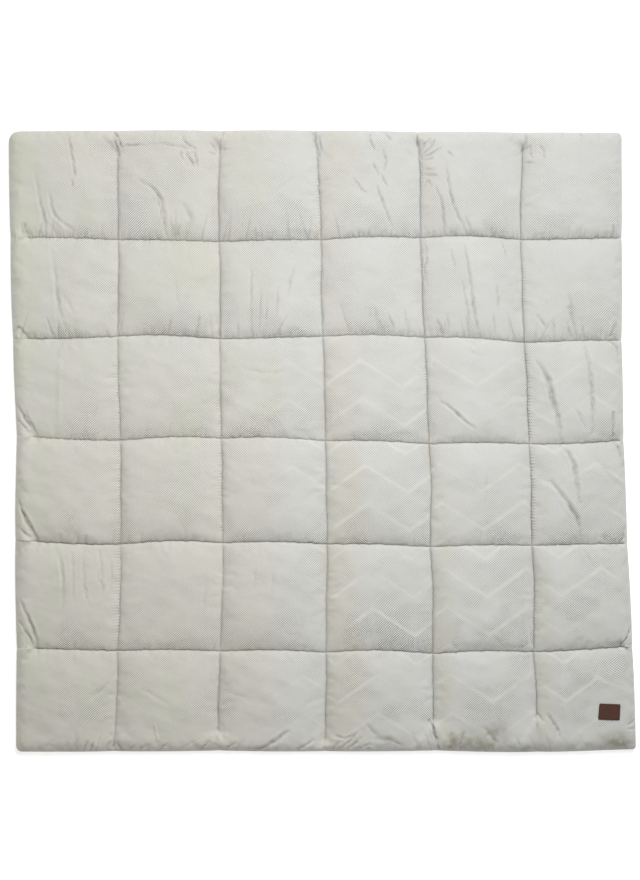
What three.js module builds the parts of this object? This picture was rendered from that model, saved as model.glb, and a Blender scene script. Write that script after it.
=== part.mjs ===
// A quilted comforter for a cot or a play floor, lying flat on its back.
//
// Millimetres. +X is to the right, +Y to the head edge and +Z up. The origin is on the surface,
// under the middle of the comforter's box. Two cloths with a soft filling between them meet in a
// turned seam round the edge. Lines of stitching quilt them into squares, and a small leather
// patch is sewn on near the lower right corner.
//
// A place on the quilt is (u, v): squares counted from the left edge and from the head edge, so a
// whole number is a line of stitching, and the edges are 0 and 6.

import * as THREE from 'three';

// Quilting
const SQUARES = 6;
const PITCH = 168; // mean side of a square
const CROWN = 29; // top of a full square, above the surface
const CROWN_CHANGE = 2.5; // how much fuller or slacker one square is than the next
const STITCH_TOP = 9; // the upper cloth where it is stitched down
const STITCH_UNDER = 5; // the lower cloth there, lifted off the surface
const SHOULDER = 2.6; // higher is a flatter square with steeper sides
const FULLNESS = 0.6; // lower is a fuller side beside the stitching
const UNEVEN = { height: 1.4, across: 37, down: 31 }; // of the filling
const WANDER = 1.2; // how far a line of stitching strays between two crossings

// Edge
const RIM_HEIGHT = STITCH_TOP; // the seam that joins the two cloths
const RIM_ROUND = 26; // how far in the upper cloth has turned over
const RIM_UNDER = 18; // how far in the lower cloth reaches the surface
const RIM_FULLNESS = 0.78; // height of the rolled edge, as a part of the square's own
const RIM_DRAWN_IN = { by: 1.5, within: 0.3 }; // pull of each line of stitching on the edge, in squares
const LOOSE = 0.72; // how full the cloth is where a line of stitching has ended
const LOOSE_WITHIN = 22; // how soon it is that full

// Lines of stitching and edges, as they cross each other. A row is one line.
// Lines down the quilt: how far right of the middle, at the head edge, each line across, the foot.
const ACROSS_AT = ['head', 'one', 'two', 'three', 'four', 'five', 'foot'];
const LINES_DOWN = [
  { line: 'left edge', head: -507, one: -505, two: -501, three: -495, four: -497, five: -495, foot: -495 },
  { line: 'first', head: -332, one: -330, two: -331, three: -326, four: -326, five: -331, foot: -338 },
  { line: 'second', head: -165, one: -167, two: -166, three: -163, four: -161, five: -165, foot: -167 },
  { line: 'third', head: -12, one: -2, two: 1, three: 5, four: 8, five: 6, foot: 4 },
  { line: 'fourth', head: 154, one: 159, two: 166, three: 173, four: 175, five: 179, foot: 184 },
  { line: 'fifth', head: 324, one: 321, two: 327, three: 335, four: 339, five: 342, foot: 348 },
  { line: 'right edge', head: 485, one: 486, two: 486, three: 489, four: 495, five: 503, foot: 508 },
];
// Lines across the quilt: how far above the middle, at the left edge, each line down, the right.
const DOWN_AT = ['left', 'one', 'two', 'three', 'four', 'five', 'right'];
const LINES_ACROSS = [
  { line: 'head edge', left: 502, one: 504, two: 504, three: 504, four: 502, five: 501, right: 500 },
  { line: 'first', left: 329, one: 326, two: 323, three: 326, four: 329, five: 326, right: 329 },
  { line: 'second', left: 167, one: 170, two: 166, three: 170, four: 168, five: 160, right: 163 },
  { line: 'third', left: 9, one: 2, two: 5, three: 1, four: -4, five: -4, right: 2 },
  { line: 'fourth', left: -159, one: -166, two: -164, three: -166, four: -170, five: -168, right: -165 },
  { line: 'fifth', left: -334, one: -338, two: -339, three: -341, four: -343, five: -340, right: -331 },
  { line: 'foot edge', left: -502, one: -502, two: -501, three: -502, four: -501, five: -503, right: -498 },
];

// How far each line bends between two crossings, in the middle of squares a to f: a line across
// upwards, and a line down to the right.
const SQUARE_AT = ['a', 'b', 'c', 'd', 'e', 'f'];
const SAGS_ACROSS = [
  { line: 'first', a: 1.7, b: 1.3, c: 1.6, d: 3.1, e: 4.9, f: 0.2 },
  { line: 'second', a: -2.1, b: 4.1, c: 0.0, d: 2.9, e: 3.8, f: 2.0 },
  { line: 'third', a: -1.4, b: 4.4, c: 3.6, d: 3.3, e: 3.3, f: -1.8 },
  { line: 'fourth', a: -1.7, b: 5.4, c: 3.1, d: 2.6, e: 2.3, f: 0.5 },
  { line: 'fifth', a: 0.3, b: 2.4, c: 3.2, d: 5.3, e: 4.2, f: -0.4 },
];
const BOWS_DOWN = [
  { line: 'first', a: 1.6, b: 2.5, c: 0.6, d: 1.0, e: 2.5, f: 3.8 },
  { line: 'second', a: -0.6, b: 2.5, c: 0.6, d: 0.6, e: 1.9, f: -1.0 },
  { line: 'third', a: 2.9, b: -0.6, c: 1.6, d: 0.6, e: 0.3, f: 1.6 },
  { line: 'fourth', a: 1.9, b: -1.0, c: -0.6, d: 1.6, e: 1.9, f: -2.9 },
  { line: 'fifth', a: -0.6, b: 0.0, c: 0.0, d: 0.6, e: 2.2, f: 1.0 },
];

// How far short of the two edges each line of stitching stops.
const STOPS_DOWN = [
  { line: 'first', head: 37, foot: 11 },
  { line: 'second', head: 30, foot: 36 },
  { line: 'third', head: 2, foot: 22 },
  { line: 'fourth', head: 23, foot: 57 },
  { line: 'fifth', head: 30, foot: 64 },
];
const STOPS_ACROSS = [
  { line: 'first', left: 31, right: 8 },
  { line: 'second', left: 26, right: 10 },
  { line: 'third', left: 31, right: 15 },
  { line: 'fourth', left: 34, right: 10 },
  { line: 'fifth', left: 34, right: 21 },
];

const CORNERS = [
  { corner: 'head left', u: 0, v: 0, round: 18 },
  { corner: 'head right', u: 6, v: 0, round: 10 },
  { corner: 'foot left', u: 0, v: 6, round: 12 },
  { corner: 'foot right', u: 6, v: 6, round: 10 },
];

// Creases pressed into the squares: where each runs, as (u, v), with its depth and half-width.
const CREASE_END = 0.35; // depth of a crease at its ends, as a part of its depth in the middle
const CREASES = [
  { square: 'head, 1', path: [[0.25, 0.40], [0.34, 0.97]], deep: 5, wide: 9 },
  { square: 'head, 1', path: [[0.38, 0.57], [0.42, 0.79], [0.64, 0.96]], deep: 4, wide: 8 },
  { square: 'head, 2', path: [[1.23, 0.47], [1.37, 0.56], [1.44, 0.67], [1.49, 0.96]], deep: 7, wide: 10 },
  { square: 'head, 2', path: [[1.63, 0.64], [1.72, 0.80], [1.66, 0.96]], deep: 5, wide: 11 },
  { square: 'head, 4', path: [[3.57, 0.54], [3.61, 0.65], [3.72, 0.93]], deep: 6, wide: 9 },
  { square: 'head, 5', path: [[4.12, 0.50], [4.20, 0.71], [4.24, 0.96]], deep: 6, wide: 8 },
  { square: 'head, 5', path: [[4.25, 0.32], [4.32, 0.68], [4.44, 0.95]], deep: 7.5, wide: 9 },
  { square: 'row 2, 1', path: [[0.38, 1.05], [0.43, 1.45], [0.45, 1.92]], deep: 4, wide: 9 },
  { square: 'row 2, 3', path: [[2.31, 1.27], [2.31, 1.93]], deep: 4, wide: 8 },
  { square: 'row 2, 3', path: [[2.58, 1.45], [2.55, 1.85]], deep: 3.5, wide: 8 },
  { square: 'row 2, 5', path: [[4.43, 1.08], [4.48, 1.47], [4.52, 1.92]], deep: 7, wide: 10 },
  { square: 'row 2, 5', path: [[4.77, 1.44], [4.77, 1.75]], deep: 3.5, wide: 8 },
  { square: 'row 2, 6', path: [[5.46, 1.55], [5.51, 1.92]], deep: 5, wide: 9 },
  { square: 'row 3, 3', path: [[2.19, 2.28], [2.51, 2.36], [2.69, 2.30]], deep: 3.5, wide: 10 },
  { square: 'row 3, 5', path: [[4.12, 2.60], [4.25, 2.69], [4.46, 2.87]], deep: 7, wide: 9 },
  { square: 'row 3, 6', path: [[5.11, 2.20], [5.21, 2.37], [5.26, 2.60], [5.31, 2.95]], deep: 8.5, wide: 11 },
  { square: 'row 3, 6', path: [[5.61, 2.07], [5.65, 2.30], [5.67, 2.61], [5.66, 2.94]], deep: 7, wide: 9 },
  { square: 'row 4, 1', path: [[0.06, 3.70], [0.21, 3.96]], deep: 7, wide: 10 },
  { square: 'row 4, 6', path: [[5.37, 3.06], [5.44, 3.18], [5.47, 3.38], [5.50, 3.60]], deep: 7, wide: 9 },
  { square: 'row 4, 6', path: [[5.20, 3.37], [5.39, 3.61], [5.48, 3.78], [5.51, 3.95]], deep: 7.5, wide: 10 },
  { square: 'row 5, 1', path: [[0.04, 4.57], [0.13, 4.72], [0.21, 4.87], [0.20, 4.96]], deep: 7.5, wide: 10 },
  { square: 'row 5, 1', path: [[0.66, 4.10], [0.68, 4.55]], deep: 3.5, wide: 9 },
  { square: 'foot, 1', path: [[0.97, 5.22], [0.87, 5.36], [0.70, 5.49]], deep: 3, wide: 10 },
  { square: 'foot, 2', path: [[1.24, 5.37], [1.37, 5.44], [1.54, 5.53]], deep: 4, wide: 10 },
  { square: 'foot, 3', path: [[2.63, 5.78], [2.48, 5.91]], deep: 5, wide: 9 },
  { square: 'foot, 4', path: [[3.32, 5.74], [3.15, 5.93]], deep: 5, wide: 9 },
  { square: 'foot, 5', path: [[4.51, 5.74], [4.66, 5.90]], deep: 5, wide: 9 },
  { square: 'foot, 6', path: [[5.04, 5.62], [5.13, 5.73], [5.27, 5.88]], deep: 6, wide: 10 },
];

// Leather patch
const PATCH_WIDTH = 34;
const PATCH_HEIGHT = 26;
const PATCH_THICK = 1.6;
const PATCH_AT = { x: 463, y: -435.3, turn: -2.5 }; // its middle, and degrees anticlockwise
const PATCH_CLEAR = 0.35; // it stays this far off the cloth
const PATCH_CELLS = { across: 8, down: 6 };

// How finely each square is divided, in parts of its side. The lower cloth takes every other line.
const TOP_STEPS = [0, 0.05, 0.13, 0.24, 0.37, 0.5, 0.63, 0.76, 0.87, 0.95];
const UNDER_STEPS = [0, 0.13, 0.37, 0.63, 0.87];
const UNDER_RIM_STEP = 0.045;

const MATERIALS = {
  cloth: new THREE.MeshStandardMaterial({ color: 0xd8d8d0, roughness: 0.95, metalness: 0 }),
  leather: new THREE.MeshStandardMaterial({ color: 0x54342a, roughness: 0.6, metalness: 0 }),
};

const columns = (row, names) => names.map((name) => row[name]);
const DOWN = LINES_DOWN.map((row) => columns(row, ACROSS_AT));
const OVER = LINES_ACROSS.map((row) => columns(row, DOWN_AT));
const clamp = (value, low, high) => Math.min(high, Math.max(low, value));
const mix = (a, b, part) => a + (b - a) * part;

function smoothstep(value) {
  const t = clamp(value, 0, 1);
  return t * t * (3 - 2 * t);
}

// A smooth line through the values at 0, 1, 2 and so on.
function along(values, at) {
  const last = values.length - 1;
  const i = Math.min(Math.floor(at), last - 1);
  const t = at - i;
  const before = values[Math.max(i - 1, 0)];
  const after = values[Math.min(i + 2, last)];
  const leave = (values[i + 1] - before) / 2;
  const arrive = (after - values[i]) / 2;
  const step = values[i + 1] - values[i];
  return values[i] + leave * t + (3 * step - 2 * leave - arrive) * t * t
    + (leave + arrive - 2 * step) * t * t * t;
}

// A whole number's own value from -1 to 1, so each square and line differs from the next.
function chance(a, b) {
  const wave = Math.sin(a * 127.1 + b * 311.7 + 17.3) * 43758.5453;
  return 2 * (wave - Math.floor(wave)) - 1;
}

const isEdge = (line) => line === 0 || line === SQUARES;

// How far a line of stitching bends off its way between two crossings.
function bend(rows, line, at) {
  if (isEdge(line)) return 0;
  const middle = rows[line - 1][SQUARE_AT[squareOf(at)]];
  return middle * Math.sin(Math.PI * (at % 1));
}

function downLine(line, v) {
  const stray = isEdge(line) ? 0 : WANDER * Math.sin(Math.PI * 2 * v + chance(line, 3) * 3);
  return along(DOWN[line], v) + stray * Math.sin(Math.PI * v) ** 2 + bend(BOWS_DOWN, line, v);
}

function acrossLine(line, u) {
  return along(OVER[line], u) + bend(SAGS_ACROSS, line, u);
}

// How far an edge is pulled in, which is most where a line of stitching ends.
function drawnIn(at, fromEdge) {
  if (Math.min(at, SQUARES - at) < 0.5) return 0;
  const nearStitch = 1 - Math.sqrt(Math.abs(Math.sin(Math.PI * at)));
  return RIM_DRAWN_IN.by * nearStitch * clamp(1 - fromEdge / RIM_DRAWN_IN.within, 0, 1);
}

function squareOf(at) {
  return clamp(Math.floor(at), 0, SQUARES - 1);
}

// A place (u, v) as x and y, before the corners are rounded.
function squarePlace(u, v) {
  const column = squareOf(u);
  const row = squareOf(v);
  let x = mix(downLine(column, v), downLine(column + 1, v), u - column);
  let y = mix(acrossLine(row, u), acrossLine(row + 1, u), v - row);
  x += drawnIn(v, u) - drawnIn(v, SQUARES - u);
  y += drawnIn(u, SQUARES - v) - drawnIn(u, v);
  return { x, y };
}

// The same place with the quilt's corners rounded: within the corner a square is eased to a disc.
function place(u, v) {
  const spot = squarePlace(u, v);
  for (const corner of CORNERS) {
    const tip = squarePlace(corner.u, corner.v);
    const intoX = corner.u === 0 ? 1 : -1;
    const intoY = corner.v === 0 ? -1 : 1;
    const a = 1 - (intoX * (spot.x - tip.x)) / corner.round;
    const b = 1 - (intoY * (spot.y - tip.y)) / corner.round;
    if (a > 0 && b > 0) {
      spot.x = tip.x + intoX * corner.round * (1 - a * Math.sqrt(1 - (b * b) / 2));
      spot.y = tip.y + intoY * corner.round * (1 - b * Math.sqrt(1 - (a * a) / 2));
      return spot;
    }
  }
  return spot;
}

// How loose the cloth is on a line of stitching: 0 where it is sewn, more beyond the line's ends.
function looseness(stops, from, to, at) {
  const beyondStart = stops[from] - at * PITCH;
  const beyondEnd = stops[to] - (SQUARES - at) * PITCH;
  return LOOSE * smoothstep(Math.max(beyondStart, beyondEnd) / LOOSE_WITHIN);
}

// The rise from 0 at the rim to the rolled edge and on to the middle of an outer square.
function rimRise(part) {
  const turned = clamp((part * PITCH) / RIM_ROUND, 0, 1);
  return Math.sqrt(1 - (1 - turned) ** 2) * mix(RIM_FULLNESS, 1, smoothstep(part / 0.5));
}

// The rise across a square, between the lines at its two sides.
function rise(at, stopsTable, from, to, other) {
  const square = squareOf(at);
  const part = at - square;
  const side = part < 0.5 ? square : square + 1;
  if (isEdge(side)) return rimRise(part < 0.5 ? part : 1 - part);
  const full = (1 - Math.abs(2 * part - 1) ** SHOULDER) ** FULLNESS;
  return mix(full, 1, looseness(stopsTable[side - 1], from, to, other));
}

// The rise of a square from its rises along and across, fuller in its corners than their product.
function bothRisen(a, b) {
  return a * b === 0 ? 0 : (a * b) / (a + b - a * b);
}

function nearestOn(path, spot) {
  let best = { distance: Infinity, part: 0 };
  path.slice(1).forEach((end, i) => {
    const start = path[i];
    const length = Math.hypot(end.x - start.x, end.y - start.y);
    const t = ((spot.x - start.x) * (end.x - start.x) + (spot.y - start.y) * (end.y - start.y)) / length ** 2;
    const part = clamp(t, 0, 1);
    const x = mix(start.x, end.x, part);
    const y = mix(start.y, end.y, part);
    const distance = Math.hypot(spot.x - x, spot.y - y);
    if (distance < best.distance) best = { distance, part: (i + part) / (path.length - 1) };
  });
  return best;
}

const creases = CREASES.map((crease) => ({ ...crease, line: crease.path.map(([u, v]) => place(u, v)) }));

// How deep the creases are at a place. Each is deepest in its middle and fades to its ends.
function creaseDepth(spot) {
  let depth = 0;
  for (const crease of creases) {
    const near = nearestOn(crease.line, spot);
    if (near.distance > 3 * crease.wide) continue;
    const fade = mix(CREASE_END, 1, Math.sin(Math.PI * near.part));
    depth += crease.deep * fade * Math.exp(-((near.distance / crease.wide) ** 2));
  }
  return depth;
}

// The upper cloth's height at (u, v).
function upperHeight(u, v) {
  const column = squareOf(u);
  const row = squareOf(v);
  const risen = bothRisen(rise(u, STOPS_DOWN, 'head', 'foot', v), rise(v, STOPS_ACROSS, 'left', 'right', u));
  const spot = place(u, v);
  const wave = Math.sin(spot.x / UNEVEN.across + column) * Math.sin(spot.y / UNEVEN.down + row * 2);
  const crown = CROWN + CROWN_CHANGE * chance(column, row) - STITCH_TOP;
  return STITCH_TOP + risen * (crown + UNEVEN.height * wave - creaseDepth(spot));
}

// The lower cloth's height at (u, v): flat on the surface, but at stitching and round the rim.
function lowerHeight(u, v) {
  const fromEdge = Math.min(u, v, SQUARES - u, SQUARES - v) * PITCH;
  if (fromEdge < RIM_UNDER) return RIM_HEIGHT * (1 - Math.sqrt(1 - (1 - fromEdge / RIM_UNDER) ** 2));
  return Number.isInteger(u) || Number.isInteger(v) ? STITCH_UNDER : 0;
}

function gridLines(steps) {
  const lines = [];
  for (let square = 0; square < SQUARES; square += 1) lines.push(...steps.map((step) => square + step));
  lines.push(SQUARES);
  return lines;
}

// The net of the upper cloth. Where a crease crosses a line of the net, the nearest point of the
// net moves onto the crease, so that the crease is a fold in the faces.
function upperNet() {
  const lines = gridLines(TOP_STEPS);
  const net = lines.map((v) => lines.map((u) => ({ u, v, moved: false })));
  const free = (index) => index % TOP_STEPS.length > 1 && index % TOP_STEPS.length < TOP_STEPS.length - 1;
  const nearestLine = (at) => lines.reduce((best, line, i) => (
    Math.abs(line - at) < Math.abs(lines[best] - at) ? i : best), 0);
  for (const crease of CREASES) {
    crease.path.slice(1).forEach((end, i) => {
      const start = crease.path[i];
      const steep = Math.abs(end[1] - start[1]) > Math.abs(end[0] - start[0]);
      const over = steep ? 1 : 0;
      const way = 1 - over;
      lines.forEach((line, j) => {
        const part = (line - start[over]) / (end[over] - start[over]);
        if (part < 0 || part > 1) return;
        const crossing = mix(start[way], end[way], part);
        const k = nearestLine(crossing);
        const point = steep ? net[j][k] : net[k][j];
        if (point.moved || !free(k)) return;
        point[steep ? 'u' : 'v'] = crossing;
        point.moved = true;
      });
    });
  }
  return net;
}

function lowerNet() {
  const lines = gridLines(UNDER_STEPS);
  lines[0] = UNDER_RIM_STEP;
  lines[lines.length - 1] = SQUARES - UNDER_RIM_STEP;
  return lines.map((v) => lines.map((u) => ({ u, v })));
}

// A solid being put together: its corner points and its triangles, with their faces outwards.
class Shell {
  constructor() {
    this.points = [];
    this.faces = [];
  }

  point(x, y, z) {
    this.points.push(new THREE.Vector3(x, y, z));
    return this.points.length - 1;
  }

  // Two triangles for the corners a, b, c, d, which run anticlockwise seen from outside.
  quad(a, b, c, d, cutAtoC = true) {
    if (cutAtoC) this.faces.push([a, b, c], [a, c, d]);
    else this.faces.push([a, b, d], [b, c, d]);
  }

  // A band between two closed loops with different numbers of points.
  band(outer, inner) {
    let i = 0;
    let j = 0;
    const gap = (a, b) => this.points[a].distanceTo(this.points[b]);
    while (i < outer.length || j < inner.length) {
      const a = outer[i % outer.length];
      const b = inner[j % inner.length];
      const nextA = outer[(i + 1) % outer.length];
      const nextB = inner[(j + 1) % inner.length];
      const stepOuter = j === inner.length || (i < outer.length && gap(nextA, b) <= gap(a, nextB));
      if (stepOuter) {
        this.faces.push([a, nextA, b]);
        i += 1;
      } else {
        this.faces.push([a, nextB, b]);
        j += 1;
      }
    }
  }

  geometry() {
    const geometry = new THREE.BufferGeometry().setFromPoints(this.points);
    geometry.setIndex(this.faces.flat());
    geometry.computeVertexNormals();
    return geometry;
  }
}

// The points round the outside of a net, clockwise seen from above.
function rimOf(ids) {
  const last = ids.length - 1;
  const loop = [];
  for (let i = 0; i < last; i += 1) loop.push(ids[0][i]);
  for (let i = 0; i < last; i += 1) loop.push(ids[i][last]);
  for (let i = last; i > 0; i -= 1) loop.push(ids[last][i]);
  for (let i = last; i > 0; i -= 1) loop.push(ids[i][0]);
  return loop;
}

function comforterShell() {
  const shell = new Shell();
  const upper = upperNet();
  const upperIds = upper.map((row) => row.map(({ u, v }) => {
    const { x, y } = place(u, v);
    return shell.point(x, y, upperHeight(u, v));
  }));
  for (let row = 0; row < upper.length - 1; row += 1) {
    for (let column = 0; column < upper.length - 1; column += 1) {
      const ring = [[row, column], [row + 1, column], [row + 1, column + 1], [row, column + 1]];
      const [a, b, c, d] = ring.map(([j, i]) => upperIds[j][i]);
      const mean = (way) => ring.reduce((sum, [j, i]) => sum + upper[j][i][way] / 4, 0);
      const height = upperHeight(mean('u'), mean('v'));
      const alongAC = (shell.points[a].z + shell.points[c].z) / 2;
      const alongBD = (shell.points[b].z + shell.points[d].z) / 2;
      shell.quad(a, b, c, d, Math.abs(alongAC - height) <= Math.abs(alongBD - height));
    }
  }
  const upperFaces = shell.faces.slice();

  const lower = lowerNet();
  const lowerIds = lower.map((row) => row.map(({ u, v }) => {
    const { x, y } = place(u, v);
    return shell.point(x, y, lowerHeight(u, v));
  }));
  for (let row = 0; row < lower.length - 1; row += 1) {
    for (let column = 0; column < lower.length - 1; column += 1) {
      const [a, b, c, d] = [[row, column], [row, column + 1], [row + 1, column + 1], [row + 1, column]]
        .map(([j, i]) => lowerIds[j][i]);
      shell.quad(a, b, c, d);
    }
  }
  shell.band(rimOf(upperIds), rimOf(lowerIds));
  return { shell, upperFaces };
}

// The height of the upper cloth's own faces over x and y.
function faceHeight(shell, faces, x, y) {
  for (const face of faces) {
    const [a, b, c] = face.map((id) => shell.points[id]);
    const area = (b.x - a.x) * (c.y - a.y) - (c.x - a.x) * (b.y - a.y);
    const toB = ((x - a.x) * (c.y - a.y) - (c.x - a.x) * (y - a.y)) / area;
    const toC = ((b.x - a.x) * (y - a.y) - (x - a.x) * (b.y - a.y)) / area;
    if (toB >= 0 && toC >= 0 && toB + toC <= 1) return a.z + toB * (b.z - a.z) + toC * (c.z - a.z);
  }
  throw new Error('the patch lies off the comforter');
}

// A thin plate of leather that lies along the cloth under it.
function patchShell(quilt, upperFaces) {
  const shell = new Shell();
  const turn = THREE.MathUtils.degToRad(PATCH_AT.turn);
  const layers = [0, PATCH_THICK].map((thick) => {
    const ids = [];
    for (let j = 0; j <= PATCH_CELLS.down; j += 1) {
      const row = [];
      for (let i = 0; i <= PATCH_CELLS.across; i += 1) {
        const right = (i / PATCH_CELLS.across - 0.5) * PATCH_WIDTH;
        const up = (0.5 - j / PATCH_CELLS.down) * PATCH_HEIGHT;
        const x = PATCH_AT.x + right * Math.cos(turn) - up * Math.sin(turn);
        const y = PATCH_AT.y + right * Math.sin(turn) + up * Math.cos(turn);
        row.push(shell.point(x, y, faceHeight(quilt, upperFaces, x, y) + PATCH_CLEAR + thick));
      }
      ids.push(row);
    }
    return ids;
  });
  const [under, top] = layers;
  for (let j = 0; j < PATCH_CELLS.down; j += 1) {
    for (let i = 0; i < PATCH_CELLS.across; i += 1) {
      shell.quad(top[j][i], top[j + 1][i], top[j + 1][i + 1], top[j][i + 1]);
      shell.quad(under[j][i], under[j][i + 1], under[j + 1][i + 1], under[j + 1][i]);
    }
  }
  const ring = (ids) => {
    const down = ids.length - 1;
    const across = ids[0].length - 1;
    return [...ids[0].slice(0, across), ...ids.slice(0, down).map((row) => row[across]),
      ...ids[down].slice(1).reverse(), ...ids.slice(1).reverse().map((row) => row[0])];
  };
  const topRing = ring(top);
  const underRing = ring(under);
  topRing.forEach((id, i) => {
    const next = (i + 1) % topRing.length;
    shell.quad(id, topRing[next], underRing[next], underRing[i]);
  });
  return shell;
}

function solid(name, shell, material, middle) {
  const geometry = shell.geometry();
  geometry.translate(-middle.x, -middle.y, 0);
  const mesh = new THREE.Mesh(geometry, material);
  mesh.name = name;
  return mesh;
}

const { shell: quilt, upperFaces } = comforterShell();
const middle = new THREE.Box3().setFromPoints(quilt.points).getCenter(new THREE.Vector3());

const group = new THREE.Group();
group.add(solid('comforter', quilt, MATERIALS.cloth, middle));
group.add(solid('leather_patch', patchShell(quilt, upperFaces), MATERIALS.leather, middle));

export default group;
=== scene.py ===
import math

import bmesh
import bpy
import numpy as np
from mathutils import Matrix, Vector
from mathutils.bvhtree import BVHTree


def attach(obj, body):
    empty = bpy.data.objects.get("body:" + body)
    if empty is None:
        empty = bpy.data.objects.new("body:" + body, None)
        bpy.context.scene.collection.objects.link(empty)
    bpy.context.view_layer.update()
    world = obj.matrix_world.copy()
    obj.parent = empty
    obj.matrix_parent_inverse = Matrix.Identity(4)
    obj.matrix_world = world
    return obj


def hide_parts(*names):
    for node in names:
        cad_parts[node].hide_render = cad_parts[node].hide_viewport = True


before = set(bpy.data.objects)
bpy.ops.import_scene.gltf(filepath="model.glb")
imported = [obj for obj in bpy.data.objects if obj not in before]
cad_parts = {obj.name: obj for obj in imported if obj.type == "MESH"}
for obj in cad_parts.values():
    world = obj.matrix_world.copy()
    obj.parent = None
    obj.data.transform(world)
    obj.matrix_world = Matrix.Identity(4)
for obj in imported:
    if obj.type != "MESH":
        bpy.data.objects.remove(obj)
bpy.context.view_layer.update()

# A quilted comforter for a cot or a play floor, lying flat on its back, seen from straight above.
#
# Metres. +X is to the right, +Y to the head edge and +Z up. A place on the quilt is (u, v):
# squares counted from the left edge and from the head edge, so a whole number is a line of
# stitching, and the edges are 0 and 6. Tables give millimetres from the quilt's middle.

MM = 0.001


def table(columns, *rows):
    """Rows under the names of their columns. A short row leaves its last columns out."""
    return [dict(zip(columns.split(), row)) for row in rows]


def in_millimetres(columns, *rows):
    """A table of sizes as an array in metres. Its first column only names the row."""
    assert all(len(row) == len(columns.split()) for row in rows)
    return np.array([row[1:] for row in rows]) * MM


# Photograph
PICTURE_WIDE = 640
PICTURE_HIGH = 880
PIXEL = 1.618 * MM  # of the quilt, at the height of its stitching
QUILT_AT = (322.0, 441.5)  # the quilt's middle in the picture
LENS = 85.0
SENSOR = 36.0

# Quilting
SQUARES = 6
PITCH = 168 * MM
CROWN = 27 * MM
CROWN_CHANGE = 2.5 * MM
STITCH_TOP = 8 * MM
STITCH_UNDER = 5 * MM
SHOULDER = dict(down=2.3, across=3.4)  # how square the crown is, beside the lines down and across
# How a square stands up beside its stitching: the parts of its rise, and how soon each is reached.
# The side over a line across hangs close to it, and the side under the line slopes more.
STANDS_UP = dict(
    over=(dict(part=0.27, width=0.9 * MM), dict(part=0.27, width=6.5 * MM)),
    under=(dict(part=0.33, width=0.8 * MM), dict(part=0.20, width=4.5 * MM)),
    left=(dict(part=0.28, width=0.9 * MM), dict(part=0.17, width=6 * MM)),
    right=(dict(part=0.20, width=1.1 * MM), dict(part=0.38, width=8 * MM)),
)
BESIDE_DOWN = ("right", "left")  # a square's own sides: right of its first line and left of its second
BESIDE_ACROSS = ("under", "over")
SEWN_SLACK = dict(first=0.25, second=0.12)  # how much of the rise is left on these lines down
UNEVEN = dict(height=1.4 * MM, across=37 * MM, down=31 * MM)  # a slow wave over the crowns
WANDER = 1.2 * MM  # how far a line down strays between two lines across

# Edge
RIM_ROUND = 21 * MM  # how far in the edge is rounded over
RIM_UNDER = 18 * MM  # and how far it turns under
JOINED_IN = 3 * MM  # the lower cloth starts that far inside the turned edge
RIM_FULLNESS = 0.85  # of the crown, just inside the rounded edge
RIM_DRAWN_IN = dict(by=1.5 * MM, within=0.3)  # where a line of stitching ends
LOOSE_WITHIN = 12 * MM  # beyond the end of a line, the cloth is loose

# Lines of stitching and edges, where they cross each other.
LINES_DOWN = in_millimetres(
    "line head one two three four five foot",
    ("left edge", -507, -505, -501, -495, -497, -495, -495),
    ("first", -332, -330, -331, -326, -326, -331, -338),
    ("second", -165, -167, -166, -163, -161, -165, -167),
    ("third", -12, -2, 1, 5, 8, 6, 4),
    ("fourth", 154, 159, 166, 173, 175, 179, 184),
    ("fifth", 324, 321, 327, 335, 339, 342, 348),
    ("right edge", 485, 486, 486, 489, 495, 503, 508),
)
LINES_ACROSS = in_millimetres(
    "line left one two three four five right",
    ("head edge", 502, 504, 504, 504, 502, 501, 500),
    ("first", 329, 326, 323, 326, 329, 326, 329),
    ("second", 167, 170, 166, 170, 168, 160, 163),
    ("third", 9, 2, 5, 1, -4, -4, 2),
    ("fourth", -159, -166, -164, -166, -170, -168, -165),
    ("fifth", -334, -338, -339, -341, -343, -340, -331),
    ("foot edge", -502, -502, -501, -502, -501, -503, -498),
)
# How far each line bends between its crossings, in the middle of each square from a to f: up for a
# line across and right for a line down.
SAGS_ACROSS = in_millimetres(
    "line a b c d e f",
    ("first", 1.7, 1.3, 1.6, 3.1, 4.9, 0.2),
    ("second", -2.1, 4.1, 0, 2.9, 3.8, 2),
    ("third", -1.4, 4.4, 3.6, 3.3, 3.3, -1.8),
    ("fourth", -1.7, 5.4, 3.1, 2.6, 2.3, 0.5),
    ("fifth", 0.3, 2.4, 3.2, 5.3, 4.2, -0.4),
)
BOWS_DOWN = in_millimetres(
    "line a b c d e f",
    ("first", 1.6, 2.5, 0.6, 1, 2.5, 3.8),
    ("second", -0.6, 2.5, 0.6, 0.6, 1.9, -1),
    ("third", 2.9, -0.6, 1.6, 0.6, 0.3, 1.6),
    ("fourth", 1.9, -1, -0.6, 1.6, 1.9, -2.9),
    ("fifth", -0.6, 0, 0, 0.6, 2.2, 1),
)
# How far short of the edges each line stops.
STOPS_DOWN = in_millimetres(
    "line head foot",
    ("first", 37, 11),
    ("second", 30, 36),
    ("third", 2, 22),
    ("fourth", 23, 57),
    ("fifth", 30, 64),
)
STOPS_ACROSS = in_millimetres(
    "line left right",
    ("first", 31, 8),
    ("second", 26, 10),
    ("third", 31, 15),
    ("fourth", 34, 10),
    ("fifth", 34, 21),
)
CORNERS = table(
    "corner u v round",
    ("head left", 0, 0, 18),
    ("head right", 6, 0, 9),
    ("foot left", 0, 6, 11),
    ("foot right", 6, 6, 7),
)

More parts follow.
